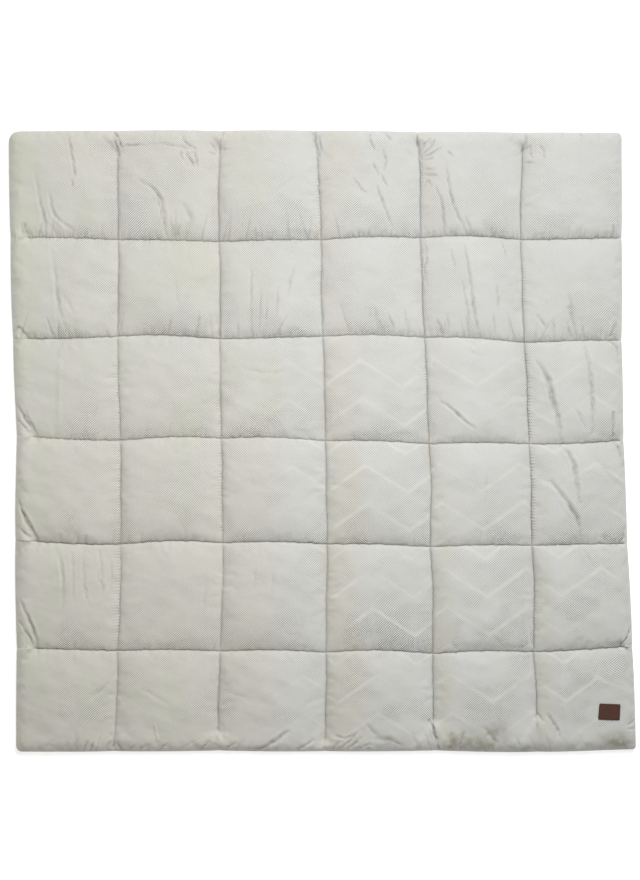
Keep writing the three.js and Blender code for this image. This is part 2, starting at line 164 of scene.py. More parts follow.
# Cloth
STUFFED_CELLS = 30  # of the cloth across a square while it is stuffed
STUFFING = dict(frames=16, cap=5 * MM)
STUFFED_CLOTH = dict(
    vertex_group_mass="sewn", quality=4, mass=0.15, tension_stiffness=15, compression_stiffness=15,
    shear_stiffness=5, bending_stiffness=0.5, use_pressure=True, uniform_pressure_force=8.0, shrink_min=-0.03,
)
PUCKERED = 0.45  # how much of the stuffed cloth's own puckers is kept
PUCKERS_WITHIN = 24  # smoothing passes that leave what is broader than a pucker
BESIDE_STITCHING = (0.5 * MM, 1.1 * MM, 2.0 * MM, 3.4 * MM, 5.4 * MM)  # lines of the finished cloth
CELL = 1.75 * MM  # and its cells beyond them
EDGE_TURNS = 5  # bands of cloth between the rim and the flat of the underside
UNDER_CHANNEL = 5 * MM  # half-width of the lower cloth's channels
UNDER_LINES = (0, 0.02, 0.06, 0.14, 0.26, 0.38, 0.5, 0.62, 0.74, 0.86, 0.94, 0.98)  # its grid in a square

# Creases pressed into the squares: their depth and half-width in millimetres, and where each runs, as
# (u, v). A crease is deepest in its middle. Beside it the cloth stands up in two low ridges.
CREASE_END = 0.3  # what is left of its depth at its ends, where its row doesn't say
SHARP = dict(deep=0.85, wide=0.42)  # the fold itself, as parts of the crease's depth and half-width
HOLLOW = dict(deep=0.35, wide=1.6)  # the soft hollow round it
RIDGE = dict(height=0.3, out=1.3)
STRAY = 0.55 * MM  # how far a fold wavers
# Painted shade down in a fold.
FOLD_SHADE_WIDE = 1.3 * MM  # half-width of the darker cloth down in a fold
CREASES = table(
    "deep wide path ends",
    # Head row of squares
    (1.2, 4, ((0.25, 0.4), (0.34, 0.98))),
    (1.2, 4, ((0.38, 0.57), (0.42, 0.79), (0.64, 0.97))),
    (1, 3, ((0.13, 0.87), (0.18, 1))),
    (2.6, 3, ((0.115, 0.87), (0.14, 0.99))),
    (2.2, 3, ((0.56, 0.07), (0.58, 0.2), (0.61, 0.37), (0.61, 0.45))),
    (2.2, 2.6, ((0.59, 0.47), (0.59, 0.54))),
    (1.4, 3.5, ((0.39, 0.65), (0.41, 0.78), (0.47, 0.85)), 0.5),
    (1.8, 3, ((0.28, 0.65), (0.33, 0.83), (0.34, 0.99)), 0.5),
    (2.8, 2.8, ((0.14, 0.87), (0.17, 0.98)), 0.6),
    (3, 4.5, ((1.23, 0.47), (1.37, 0.56), (1.44, 0.67), (1.49, 0.97))),
    (1.6, 3, ((1.62, 0.87), (1.58, 0.98))),
    (2.2, 8, ((1.64, 0.67), (1.72, 0.81), (1.64, 0.98))),
    (4.2, 2.6, ((0.98, 0.02), (1.02, 0.09), (1.04, 0.16)), 0.9),
    (3.4, 3, ((0.99, 0.12), (1.01, 0.19), (1.02, 0.24)), 0.8),
    (2.4, 3, ((1.04, 0.17), (1.12, 0.15), (1.28, 0.15))),
    (1.4, 4, ((1.28, 0.15), (1.42, 0.14), (1.65, 0.17), (1.77, 0.19))),
    (2.6, 3, ((1.64, 0.08), (1.69, 0.14), (1.77, 0.18))),
    (3.2, 3, ((1.68, 0.22), (1.72, 0.29), (1.76, 0.34))),
    (2.8, 2.6, ((1.76, 0.21), (1.79, 0.34))),
    (1.8, 2.6, ((1.62, 0.2), (1.64, 0.28))),
    (2.6, 2.6, ((1.91, 0.12), (1.95, 0.17), (1.98, 0.21))),
    (2, 2.6, ((1.89, 0.21), (1.97, 0.22))),
    (2.2, 3, ((1.4, 0.61), (1.43, 0.75), (1.48, 0.97)), 0.5),
    (2.2, 2.8, ((1.55, 0.88), (1.57, 0.99)), 0.6),
    (1.8, 2.6, ((1.6, 0.9), (1.61, 0.99)), 0.6),
    (0.7, 5, ((2.48, 0.61), (2.76, 0.44))),
    (2, 3, ((1.99, 0.21), (2.01, 0.13), (2.04, 0.02)), 0.8),
    (1.8, 2.6, ((2, 0.18), (2.12, 0.18))),
    (4, 2.6, ((2.97, 0.02), (3, 0.13), (3.02, 0.24)), 0.9),
    (2.6, 3.5, ((3.57, 0.54), (3.61, 0.65), (3.72, 0.92))),
    (3, 2.6, ((3.04, 0.07), (3.04, 0.2)), 0.8),
    (2.4, 3, ((3.53, 0.04), (3.54, 0.12), (3.57, 0.19))),
    (2.4, 3, ((3.67, 0.02), (3.75, 0.1))),
    (1.8, 2.6, ((3.65, 0.18), (3.67, 0.29), (3.64, 0.4))),
    (1.8, 2.6, ((3.54, 0.3), (3.59, 0.43))),
    (2.4, 2.6, ((3.62, 0.43), (3.67, 0.53))),
    (2.6, 2.6, ((3.35, 0.46), (3.4, 0.54), (3.46, 0.59))),
    (2.6, 3.5, ((4.15, 0.54), (4.22, 0.71), (4.24, 0.98))),
    (2.8, 3.5, ((4.25, 0.32), (4.32, 0.68), (4.44, 0.96))),
    (1.8, 3, ((4.45, 0.82), (4.5, 0.96))),
    (4, 2.6, ((3.99, 0.04), (4, 0.14), (4.02, 0.27)), 0.9),
    (3, 2.4, ((4.01, 0.21), (4.05, 0.14), (4.12, 0.08)), 0.6),
    (2.6, 2.4, ((4.03, 0.23), (4.1, 0.17), (4.16, 0.1)), 0.6),
    (2.4, 2.4, ((4.03, 0.25), (4.12, 0.22), (4.21, 0.17)), 0.6),
    (2, 2.4, ((4.03, 0.28), (4.13, 0.26)), 0.6),
    (1.8, 2.4, ((4.04, 0.36), (4.15, 0.37))),
    (1.8, 2.4, ((4.03, 0.41), (4.16, 0.43))),
    (2.2, 2.4, ((4.04, 0.53), (4.07, 0.47), (4.11, 0.52))),
    (2, 2.6, ((4.28, 0.2), (4.33, 0.25))),
    (2, 2.4, ((4.71, 0.92), (4.71, 0.99)), 0.6),
    (1, 3, ((4.85, 0.8), (4.88, 0.93))),
    (2, 3, ((4.22, 0.76), (4.23, 0.89), (4.24, 0.99)), 0.6),
    (3.4, 2.6, ((4.98, 0.22), (5, 0.17), (5.04, 0.1), (5.02, 0.03)), 0.8),
    (3, 2.6, ((5, 0.29), (5.12, 0.3))),
    (2.2, 2.4, ((4.99, 0.18), (5.08, 0.14)), 0.6),
    (2, 2.4, ((5.07, 0.13), (5.09, 0.26))),
    (2, 3, ((5.16, 0.13), (5.2, 0.18), (5.22, 0.26))),
    (1.8, 3, ((5.55, 0.01), (5.6, 0.07))),
    (3, 2.8, ((5.91, 1), (5.91, 0.94), (5.9, 0.89)), 0.8),
    # Second row of squares
    (1.1, 5, ((0.38, 1.03), (0.43, 1.45), (0.45, 1.92))),
    (0.9, 5, ((0.49, 1.55), (0.6, 1.77))),
    (4.4, 3.5, ((0.02, 1.94), (0.08, 1.9), (0.16, 2.01))),
    (1, 4, ((0.43, 1.53), (0.47, 1.75), (0.53, 1.94)), 0.5),
    (1.6, 3, ((0.34, 1.81), (0.4, 2)), 0.5),
    (0.9, 5, ((1.57, 1.43), (1.6, 1.73))),
    (1, 4, ((1.86, 1.76), (1.73, 1.91))),
    (1.5, 3.5, ((2.31, 1.24), (2.31, 1.95))),
    (1.3, 3, ((2.41, 1.5), (2.39, 1.96))),
    (1.2, 3, ((2.47, 1.62), (2.45, 1.89))),
    (1.4, 3.5, ((2.58, 1.5), (2.55, 1.79))),
    (1.2, 3.5, ((2.76, 1.24), (2.7, 1.44), (2.67, 1.63))),
    (1.2, 3, ((3.52, 1.74), (3.54, 1.96))),
    (1.2, 3, ((3.65, 1.78), (3.7, 1.97))),
    (1.1, 3, ((3.82, 1.77), (3.83, 1.93))),
    (1.4, 4, ((3.18, 1.68), (3.23, 1.86), (3.27, 1.99)), 0.5),
    (1.2, 3.5, ((3.52, 1.73), (3.55, 1.86), (3.6, 1.98)), 0.5),
    (1.4, 3, ((3.65, 1.78), (3.69, 1.91), (3.68, 1.99)), 0.5),
    (1, 2.6, ((3.82, 1.74), (3.83, 1.95)), 0.5),
    (2.2, 3.5, ((4.43, 1.07), (4.48, 1.47), (4.52, 1.9))),
    (1.6, 3, ((4.3, 1.15), (4.33, 1.34))),
    (1.6, 3, ((4.39, 1.44), (4.47, 1.93))),
    (1.4, 3, ((4.81, 1.05), (4.85, 1.2))),
    (1.8, 3.5, ((4.74, 1.46), (4.76, 1.71))),
    (1.8, 3, ((4.14, 1.82), (4.18, 1.96))),
    (2.4, 2.8, ((4.04, 1.05), (4.06, 1.18), (4.03, 1.32), (4.05, 1.5))),
    (2.4, 2.8, ((4.12, 1.84), (4.17, 1.93), (4.18, 2)), 0.6),
    (1.4, 3, ((4.24, 1.78), (4.24, 1.97)), 0.5),
    (2.6, 2.8, ((4.43, 1.79), (4.44, 1.92), (4.45, 1.99)), 0.6),
    (2.2, 3, ((4.49, 1.57), (4.51, 1.77), (4.54, 1.92)), 0.5),
    (1.6, 3.5, ((4.7, 1.76), (4.71, 1.95)), 0.5),
    (1.2, 3, ((4.85, 1.77), (4.86, 1.92)), 0.5),
    (2.6, 5, ((5.46, 1.55), (5.51, 1.89))),
    (2, 4, ((5.13, 1.73), (5.22, 1.88))),
    (1.6, 4, ((5.92, 1.83), (5.9, 1.95))),
    (3, 3, ((5.87, 1.97), (5.9, 1.91), (5.92, 1.83)), 0.6),
    (2.2, 3.5, ((5.29, 1.79), (5.3, 1.96)), 0.6),
    (2.2, 3, ((5.45, 1.68), (5.5, 1.84), (5.53, 1.97)), 0.5),
    (1.8, 3, ((5.43, 1.82), (5.47, 1.97)), 0.5),
    (2, 2.6, ((5.59, 1.86), (5.6, 1.99)), 0.5),
    # Third row of squares
    (5, 4, ((0.03, 2.7), (0.11, 2.84), (0.22, 3.03))),
    (3, 3, ((0.1, 2.74), (0.22, 3))),
    (2.6, 3, ((0.03, 2.84), (0.15, 2.96))),
    (-0.8, 6, ((0.46, 2.11), (0.42, 2.96))),
    (0.7, 6, ((2.19, 2.28), (2.27, 2.32), (2.51, 2.36), (2.69, 2.3))),
    (3.4, 3.5, ((4.12, 2.6), (4.25, 2.69), (4.34, 2.78), (4.46, 2.87))),
    (1, 4, ((4.43, 2.14), (4.54, 2.17))),
    (7, 5.5, ((5.11, 2.2), (5.21, 2.37), (5.26, 2.6), (5.31, 2.78), (5.32, 3.02))),
    (4.2, 4, ((5.61, 2.07), (5.65, 2.3), (5.67, 2.61), (5.66, 2.96))),
    (1.6, 4, ((5.48, 2.64), (5.6, 2.88))),
    (5, 3, ((5.88, 2.72), (5.88, 2.86), (5.87, 2.99)), 0.7),
    (4.8, 3, ((5.86, 2), (5.93, 2.05), (5.96, 2.16)), 0.6),
    # Fourth row of squares
    (5, 4, ((0.03, 3.6), (0.11, 3.8), (0.24, 4.03))),
    (3, 3, ((0.12, 3.76), (0.23, 4))),
    (2.6, 3, ((0.03, 3.86), (0.16, 3.97))),
    (0.9, 6, ((4.55, 3.31), (4.54, 3.58))),
    (4.6, 3, ((5.88, 2.99), (5.94, 3.1), (5.97, 3.26)), 0.6),
    (4.6, 4.5, ((5.34, 3.02), (5.44, 3.18), (5.47, 3.38), (5.5, 3.6))),
    (6, 5, ((5.2, 3.37), (5.39, 3.61), (5.48, 3.78), (5.51, 4))),
    (1.2, 7, ((5.67, 3.16), (5.95, 3.47))),
    (3.4, 3, ((5.9, 4), (5.95, 3.94), (5.97, 3.82)), 0.6),
    # Fifth row of squares
    (1.2, 4.5, ((0.43, 4.1), (0.47, 4.39), (0.46, 4.6))),
    (1.2, 4, ((0.79, 4.04), (0.82, 4.14))),
    (1.2, 4, ((0.67, 4.39), (0.7, 4.55))),
    (1.2, 4, ((0.82, 4.24), (0.79, 4.32), (0.84, 4.38), (0.83, 4.49))),
    (5, 4, ((0.05, 4.55), (0.13, 4.72), (0.19, 4.87), (0.22, 5.03))),
    (3, 3, ((0.03, 4.74), (0.12, 4.86), (0.19, 5))),
    (1, 4, ((0.43, 4.11), (0.46, 4.32), (0.44, 4.5))),
    (1, 4, ((0.55, 4.08), (0.56, 4.29), (0.56, 4.5))),
    (1, 4, ((0.65, 4.11), (0.66, 4.31), (0.66, 4.47))),
    (1.2, 4, ((0.8, 4.08), (0.83, 4.28), (0.82, 4.49))),
    (1, 4, ((0.9, 4.12), (0.92, 4.29), (0.91, 4.46))),
    (1, 5, ((1.84, 4.35), (1.83, 4.65))),
    (0.9, 6, ((2.31, 4.23), (2.31, 4.44))),
    (0.9, 6, ((2.48, 4.28), (2.48, 4.5))),
    (1.2, 4, ((4.6, 4.86), (4.68, 4.94))),
    (1.2, 4, ((5.53, 4.04), (5.6, 4.17))),
    (4.8, 3, ((5.98, 4.8), (5.94, 4.9), (5.86, 5)), 0.6),
    (3, 2.8, ((5.96, 4.98), (6, 4.97)), 0.9),
    # Foot row of squares
    (1, 5, ((0.98, 5.22), (0.87, 5.36), (0.7, 5.49))),
    (1.6, 5, ((0.42, 6), (0.48, 5.96), (0.53, 5.92))),
    (2.4, 3, ((0.68, 6), (0.71, 5.96), (0.74, 5.89))),
    (2.4, 3, ((0.75, 6), (0.78, 5.95), (0.8, 5.89))),
    (1.8, 3.5, ((0.92, 6), (0.95, 5.94), (0.97, 5.89))),
    (0.9, 6, ((1.24, 5.37), (1.37, 5.44), (1.54, 5.53))),
    (2.6, 3, ((1.03, 5.9), (1.06, 5.95), (1.1, 6))),
    (1.8, 3.5, ((1.13, 6), (1.17, 5.96), (1.21, 5.92))),
    (2.2, 3.5, ((1.24, 6), (1.28, 5.95), (1.34, 5.92))),
    (2.4, 3.5, ((1.42, 6), (1.47, 5.95), (1.52, 5.91))),
    (-1.6, 2.5, ((1.38, 5.71), (1.4, 5.79), (1.42, 5.88))),
    (3.2, 5, ((1.8, 6), (1.85, 5.96), (1.91, 5.89))),
    (1, 6, ((2.02, 5.37), (2.27, 5.47))),
    (3.2, 4.5, ((2.05, 6), (2.1, 5.95), (2.16, 5.91))),
    (4.2, 5, ((2.23, 6), (2.41, 5.96), (2.54, 5.88), (2.65, 5.79))),
    (3.2, 4, ((2.71, 6), (2.79, 5.95), (2.88, 5.88))),
    (2.4, 3.5, ((3.06, 5.99), (3.1, 5.93), (3.14, 5.89))),
    (2.2, 3, ((3.1, 5.83), (3.17, 5.86), (3.25, 5.82))),
    (3, 3, ((3.15, 5.96), (3.22, 5.89), (3.29, 5.8))),
    (2.6, 3, ((3.2, 5.97), (3.27, 5.92), (3.33, 5.84))),
    (2.2, 3.5, ((3.25, 6), (3.33, 5.95), (3.42, 5.92))),
    (1.6, 5, ((3.38, 5.72), (3.43, 5.79), (3.48, 5.83))),
    (2, 6, ((3.46, 5.86), (3.59, 5.88), (3.71, 5.94))),
    (3, 3, ((3.96, 5.68), (4, 5.76)), 0.9),
    (4, 3, ((3.96, 5.67), (3.99, 5.76), (4.01, 5.88), (4.04, 6)), 0.9),
    (3, 6, ((4.09, 6), (4.16, 5.92), (4.16, 5.79))),
    (3, 3.5, ((4.23, 5.99), (4.25, 5.89), (4.29, 5.8))),
    (2.4, 5, ((4.49, 5.75), (4.54, 5.83), (4.61, 5.9))),
    (1.8, 4, ((4.54, 6), (4.58, 5.92), (4.57, 5.84))),
    (1.8, 4, ((4.71, 5.92), (4.76, 5.97))),
    (1.8, 3.5, ((4.79, 5.85), (4.83, 5.93))),
    (2.6, 3, ((5, 5.6), (5.07, 5.68)), 0.8),
    (4, 4, ((5.11, 5.62), (5.17, 5.72), (5.22, 5.83))),
    (2.6, 3, ((5.92, 5.75), (6, 5.71)), 0.8),
    (1.6, 3, ((5.92, 5.79), (6, 5.79)), 0.8),
    (1.6, 9, ((5.63, 5.97), (5.8, 5.96), (5.95, 5.92))),
)

# Short gathers that run off the lines across, in millimetres: one every so often, on that side.
GATHERS = table(
    "rows side every long deep wide lean",
    ((1, 2), "head", 7, (4, 20), (0.4, 1.9), (1.2, 2), 0.35),
    ((1, 2), "head", 8, (5, 55), (0.3, 2.6), (1.3, 2.2), 0.25),
    ((3, 4, 5), "head", 15, (4, 26), (0.2, 1.5), (1.3, 2.2), 0.3),
    ((1, 2, 3, 4, 5), "foot", 14, (6, 20), (0.15, 0.5), (1.6, 3), 0.3),
    ((6,), "head", 12, (14, 44), (0.6, 2), (2.6, 5.5), 0.6),
    ((0,), "foot", 16, (8, 26), (0.3, 1), (2, 4), 0.4),
)
# Where the cloth is ribbed beside a line down, on that side of it.
RIBBED = table(
    "line side start end much",
    (1, "left", 0.2, 0.98, 0.7),
    (1, "left", 2.2, 4.98, 1),
    (2, "left", 1.6, 1.98, 0.5),
    (2, "left", 2.5, 3.98, 0.8),
    (3, "left", 0.35, 0.98, 1),
    (3, "left", 1.2, 1.8, 0.5),
    (4, "left", 2.05, 2.6, 0.8),
    (4, "right", 0.3, 0.6, 1),
    (4, "right", 1.05, 1.6, 0.7),
    (5, "right", 1.2, 1.7, 0.8),
    (5, "right", 2.05, 2.98, 1.3),
    (5, "right", 3.05, 3.98, 1.2),
    (5, "right", 4.3, 4.9, 0.5),
)
RIBS = dict(pitch=4.4 * MM, high=0.42 * MM, within=11 * MM)
# How far a square's side bulges over the stitching, and how a line of stitching wavers.
OVERHANG = dict(over=0.9 * MM, left=0.8 * MM, at=2 * MM)
SCALLOPS = dict(across=0.5 * MM, down=0.3 * MM, lengths=(9, 14, 23, 37), within=6 * MM)
# How much painted shade darkens the cloth down in the stitching, from the first line to the fifth.
SEAM_PAINTED_SHADE = dict(
    down=(0, 0, 0.3, 0.5, 0.6), across=(0.2, 0.2, 0.2, 0.1, 0.1), wide=0.65 * MM, up=0.85 * MM,
)
SLACK_BESIDE = dict(by=0.9 * MM, within=7 * MM)  # unevenness of the sides just off the stitching

# Thread
STITCH = dict(long=3.1 * MM, pitch=4.0 * MM, thick=0.55 * MM, proud=0.2 * MM)
PATCH_STITCH = dict(long=2.0 * MM, pitch=2.8 * MM, thick=0.45 * MM, inset=2.2 * MM)

# Leather patch
PATCH = dict(x=463 * MM, y=-435.3 * MM, turn=-2.5, wide=34 * MM, high=26 * MM, thick=1.6 * MM,
             corner=1.6 * MM, lean=0.9 * MM, dark_edge=1.6 * MM)
PATCH_CLEAR = 0.35 * MM
PATCH_CELL = 0.8 * MM
PATCH_EDGE = 0.7 * MM  # how far in the worn edge is rounded

# Weave, in metres of flat cloth: a herringbone of slanting lines between paler zigzags.
ZIGZAG = dict(
    peak=192 * MM, period=122.5 * MM, fall=40.5 * MM, start=13.3 * MM, every=56.4 * MM, uneven=3.5 * MM,
)
ZIGZAG_LEAN = dict(across=0.050, down=0.010)  # of the whole pattern, as parts of the way down and across
ZIGZAG_FADES = (1.1 * MM, 4.3 * MM)  # off its middle, from here to here
ZIGZAG_TURNS = (0.8 * MM, 2.2 * MM)  # the slanting lines fade beside its peaks
SLANT = dict(every=3.7 * MM, other=0.83, uneven=0.8 * MM)  # the lines, and the finer ones across them
TUCKS = 5.2 * MM  # from one short tuck over a line across to the next
WEAVE_DRAWN = dict(u=5.65, v=5.3, within=0.26, across=13 * MM, down=7 * MM)  # out of line near the patch

# How warm the cloth's grey is, across the quilt in squares, and how much of that shows down it.
WARM_ACROSS = table(
    "u warm",
    (0, 1), (1.95, 0.85), (2.1, 0.9), (2.45, 0.7), (2.65, 0.2), (2.98, 0.1), (3.05, 1.2), (3.25, 0.9),
    (3.42, 0.1), (3.98, 0), (4.05, 0.9), (4.14, 0.5), (4.3, 0), (4.99, 0), (5.06, 0.35), (5.16, 0.15),
    (5.3, 0), (6, 0),
)
WARM_DOWN = table(
    "v shows",
    (0, 0.8), (0.8, 0.6), (2, 0.6), (3.2, 0.9), (5, 1), (6, 1),
)

# Darker, browner places along the foot edge, with their half-sizes in squares.
STAINS = table(
    "u v across down dark",
    (0.58, 5.96, 0.16, 0.05, 0.15), (1.06, 5.94, 0.16, 0.07, 0.35), (1.98, 5.95, 0.2, 0.06, 0.25),
    (2.42, 5.97, 0.2, 0.05, 0.2), (3.11, 5.96, 0.08, 0.05, 0.2), (3.39, 5.76, 0.08, 0.06, 0.16),
    (3.395, 5.95, 0.02, 0.012, 1), (3.48, 5.9, 0.33, 0.12, 0.17), (3.61, 5.88, 0.12, 0.05, 0.3),
    (4.17, 5.91, 0.08, 0.09, 0.7), (4.28, 5.8, 0.05, 0.05, 0.35), (4.4, 5.92, 0.19, 0.07, 0.7),
    (4.45, 5.87, 0.26, 0.13, 0.42), (4.62, 5.79, 0.11, 0.1, 0.5), (4.85, 5.95, 0.18, 0.05, 0.5),
    (5.1, 5.93, 0.25, 0.05, 0.25), (5.5, 5.94, 0.28, 0.05, 0.3), (5.8, 5.91, 0.2, 0.1, 0.75),
)
SOFT_LUMPS = (dict(size=38 * MM, height=0.45 * MM), dict(size=14 * MM, height=0.12 * MM))
LUMP_WAVES = 14
SEED = 11


def smoothstep(value):
    t = np.clip(value, 0, 1)
    return t * t * (3 - 2 * t)


def mix(a, b, part):
    return a + (b - a) * part


def chance(a, b):
    """A whole number's own value from -1 to 1, so each square and line differs from the next."""
    wave = np.sin(a * 127.1 + b * 311.7 + 17.3) * 43758.5453
    return 2 * (wave - np.floor(wave)) - 1


def along(sizes, line, at):
    """A smooth line through a row of sizes, whose columns are at 0, 1, 2 and so on."""
    last = sizes.shape[1] - 1
    i = np.minimum(np.floor(at).astype(int), last - 1)
    t = at - i
    here = sizes[line, i]
    following = sizes[line, i + 1]
    leave = (following - sizes[line, np.maximum(i - 1, 0)]) / 2
    arrive = (sizes[line, np.minimum(i + 2, last)] - here) / 2
    step = following - here
    return here + leave * t + (3 * step - 2 * leave - arrive) * t**2 + (leave + arrive - 2 * step) * t**3


def square_of(at):
    return np.clip(np.floor(at).astype(int), 0, SQUARES - 1)


def is_edge(line):
    return (line == 0) | (line == SQUARES)


def bend(sizes, line, at):
    """How far a line bends off its way between two crossings."""
    middle = sizes[np.clip(line - 1, 0, SQUARES - 2), square_of(at)]
    return np.where(is_edge(line), 0, middle * np.sin(math.pi * (at % 1)))


def down_line(line, v):
    """How far right a line down is at v."""
    stray = np.where(is_edge(line), 0, WANDER * np.sin(math.pi * 2 * v + chance(line, 3) * 3))
    return along(LINES_DOWN, line, v) + stray * np.sin(math.pi * v) ** 2 + bend(BOWS_DOWN, line, v)


def across_line(line, u):
    """How high up a line across is at u."""
    return along(LINES_ACROSS, line, u) + bend(SAGS_ACROSS, line, u)


def drawn_in(at, from_edge):
    """How far an edge is pulled in, which is most where a line of stitching ends."""
    near_stitch = 1 - np.sqrt(np.abs(np.sin(math.pi * at)))
    pull = RIM_DRAWN_IN["by"] * near_stitch * np.clip(1 - from_edge / RIM_DRAWN_IN["within"], 0, 1)
    return np.where(np.minimum(at, SQUARES - at) < 0.5, 0, pull)


def square_place(u, v):
    """Where (u, v) lies between its square's four lines."""
    column = square_of(u)
    row = square_of(v)
    x = mix(down_line(column, v), down_line(column + 1, v), u - column)
    y = mix(across_line(row, u), across_line(row + 1, u), v - row)
    x = x + drawn_in(v, u) - drawn_in(v, SQUARES - u)
    y = y + drawn_in(u, SQUARES - v) - drawn_in(u, v)
    return x, y


def place(u, v):
    """Where (u, v) lies on the surface, with the quilt's corners rounded."""
    u = np.asarray(u, float)
    v = np.asarray(v, float)
    x, y = square_place(u, v)
    for corner in CORNERS:
        tip_x, tip_y = square_place(np.array(float(corner["u"])), np.array(float(corner["v"])))
        into_x = 1 if corner["u"] == 0 else -1
        into_y = -1 if corner["v"] == 0 else 1
        reach = corner["round"] * MM
        a = 1 - into_x * (x - tip_x) / reach
        b = 1 - into_y * (y - tip_y) / reach
        inside = (a > 0) & (b > 0)
        x = np.where(inside, tip_x + into_x * reach * (1 - a * np.sqrt(np.maximum(1 - b * b / 2, 0))), x)
        y = np.where(inside, tip_y + into_y * reach * (1 - b * np.sqrt(np.maximum(1 - a * a / 2, 0))), y)
    return x, y


def looseness(stops, line, at, away=0.0):
    """How loose the cloth is by a line: 0 where it is sewn, up to 1 beyond the line's two ends."""
    row = np.clip(line - 1, 0, len(stops) - 1)
    beyond = np.maximum(stops[row, 0] - at * PITCH, stops[row, 1] - (SQUARES - at) * PITCH)
    return smoothstep(beyond / (LOOSE_WITHIN + away))


def rim_rise(part):
    """The rise beside an edge, which is rounded over and then fills out."""
    turned = np.clip(part * PITCH / RIM_ROUND, 0, 1)
    return np.sqrt(1 - (1 - turned) ** 2) * mix(RIM_FULLNESS, 1, smoothstep(part / 0.5))


def stood_up(part, sides):
    """The rise across a square that is sewn at both sides, from 0 at them to 1."""
    away = np.minimum(part, 1 - part) * PITCH
    square = SHOULDER["down" if sides is BESIDE_DOWN else "across"]
    rises = []
    for walls in (STANDS_UP[side] for side in sides):
        full = (1 - sum(wall["part"] for wall in walls)) * (1 - np.abs(2 * part - 1) ** square)
        for wall in walls:
            full = full + wall["part"] * (1 - np.exp(-away / wall["width"]))
        rises.append(full)
    return mix(rises[0], rises[1], smoothstep((part - 0.3) / 0.4))


def rise(at, stops, other):
    """The rise across a square, from 0 at the lines at its two sides to 1."""
    square = square_of(at)
    part = at - square
    side = np.where(part < 0.5, square, square + 1)
    sides = BESIDE_DOWN if stops is STOPS_DOWN else BESIDE_ACROSS
    away = 1.5 * np.minimum(part, 1 - part) * PITCH
    sewn = mix(stood_up(part, sides), 1, looseness(stops, side, other, away))
    if stops is STOPS_DOWN:
        slack_left = np.select([side == 1, side == 2], [SEWN_SLACK["first"], SEWN_SLACK["second"]], 0)
        sewn = mix(slack_left, 1, sewn)
    return np.where(is_edge(side), rim_rise(np.minimum(part, 1 - part)), sewn)


def both_risen(a, b):
    """The rise where two of them meet: 0 where either is, and near the lower one elsewhere."""
    return np.where(a * b == 0, 0, a * b / np.maximum(a + b - a * b, 1e-9))


def upper_height(u, v):
    """The height of the upper cloth, before its creases."""
    column = square_of(u)
    row = square_of(v)
    x, y = place(u, v)
    risen = both_risen(rise(u, STOPS_DOWN, v), rise(v, STOPS_ACROSS, u))
    wave = np.sin(x / UNEVEN["across"] + column) * np.sin(y / UNEVEN["down"] + row * 2)
    crown = CROWN + CROWN_CHANGE * chance(column, row) - STITCH_TOP
    return STITCH_TOP + risen * (crown + UNEVEN["height"] * wave)


def box_middle():
    """The middle of the quilt's outline, which the solids have at the origin."""
    steps = np.linspace(0, SQUARES, 60 * SQUARES + 1)
    zero = np.zeros_like(steps)
    far = zero + SQUARES
    x, y = np.hstack([place(steps, zero), place(steps, far), place(zero, steps), place(far, steps)])
    return (x.min() + x.max()) / 2, (y.min() + y.max()) / 2


MIDDLE = box_middle()
PATCH_X = PATCH["x"] - MIDDLE[0]
PATCH_Y = PATCH["y"] - MIDDLE[1]


def put(name, data):
    """A new piece in the scene."""
    piece = bpy.data.objects.new(name, data)
    bpy.context.collection.objects.link(piece)
    return piece


def mesh_of(name, shape):
    """Turns a shape into a mesh."""
    mesh = bpy.data.meshes.new(name)
    shape.to_mesh(mesh)
    shape.free()
    return mesh


def evaluated(piece):
    return piece.evaluated_get(bpy.context.evaluated_depsgraph_get())


def set_camera():
    """Straight above, with the head edge up in the picture."""
    field = max(PICTURE_WIDE, PICTURE_HIGH) * PIXEL
    camera = bpy.data.cameras.new("camera")
    camera.lens = LENS
    camera.sensor_width = SENSOR
    above = put("camera", camera)
    right = (PICTURE_WIDE / 2 - QUILT_AT[0]) * PIXEL - MIDDLE[0]
    up = (QUILT_AT[1] - PICTURE_HIGH / 2) * PIXEL - MIDDLE[1]
    above.location = (right, up, STITCH_TOP + field * LENS / SENSOR)
    bpy.context.scene.camera = above


def read_points(mesh):
    points = np.empty(len(mesh.vertices) * 3, np.float32)
    mesh.vertices.foreach_get("co", points)
    return points.reshape(-1, 3).astype(float)


def move_points(mesh, points):
    mesh.vertices.foreach_set("co", points.astype(np.float32).ravel())
    mesh.update()


def note(mesh, name, values):
    """Keeps a number for each point of the cloth."""
    attribute = mesh.attributes.get(name) or mesh.attributes.new(name, "FLOAT", "POINT")
    attribute.data.foreach_set("value", np.asarray(values, np.float32))


def noted(mesh, *names):
    """The numbers kept under those names."""
    columns = []
    for name in names:
        values = np.empty(len(mesh.vertices), np.float32)
        mesh.attributes[name].data.foreach_get("value", values)
        columns.append(values.astype(float))
    return columns


def cut_cloth(name, lines):
    """A flat cloth with those grid lines, in squares, both ways. Its points know their (u, v)."""
    cells = len(lines) - 1
    cloth = bmesh.new()
    bmesh.ops.create_grid(cloth, x_segments=cells, y_segments=cells, size=cells / 2)
    mesh = mesh_of(name, cloth)
    points = read_points(mesh)
    column = np.round(points[:, 0] + cells / 2).astype(int)
    row = np.round(cells / 2 - points[:, 1]).astype(int)
    note(mesh, "u", lines[column])
    note(mesh, "v", lines[row])
    return put(name, mesh), row, column


def in_every_square(lines):
    """Those grid lines of one square in all of them, with the last edge."""
    return np.append((np.arange(SQUARES)[:, None] + lines).ravel(), SQUARES)


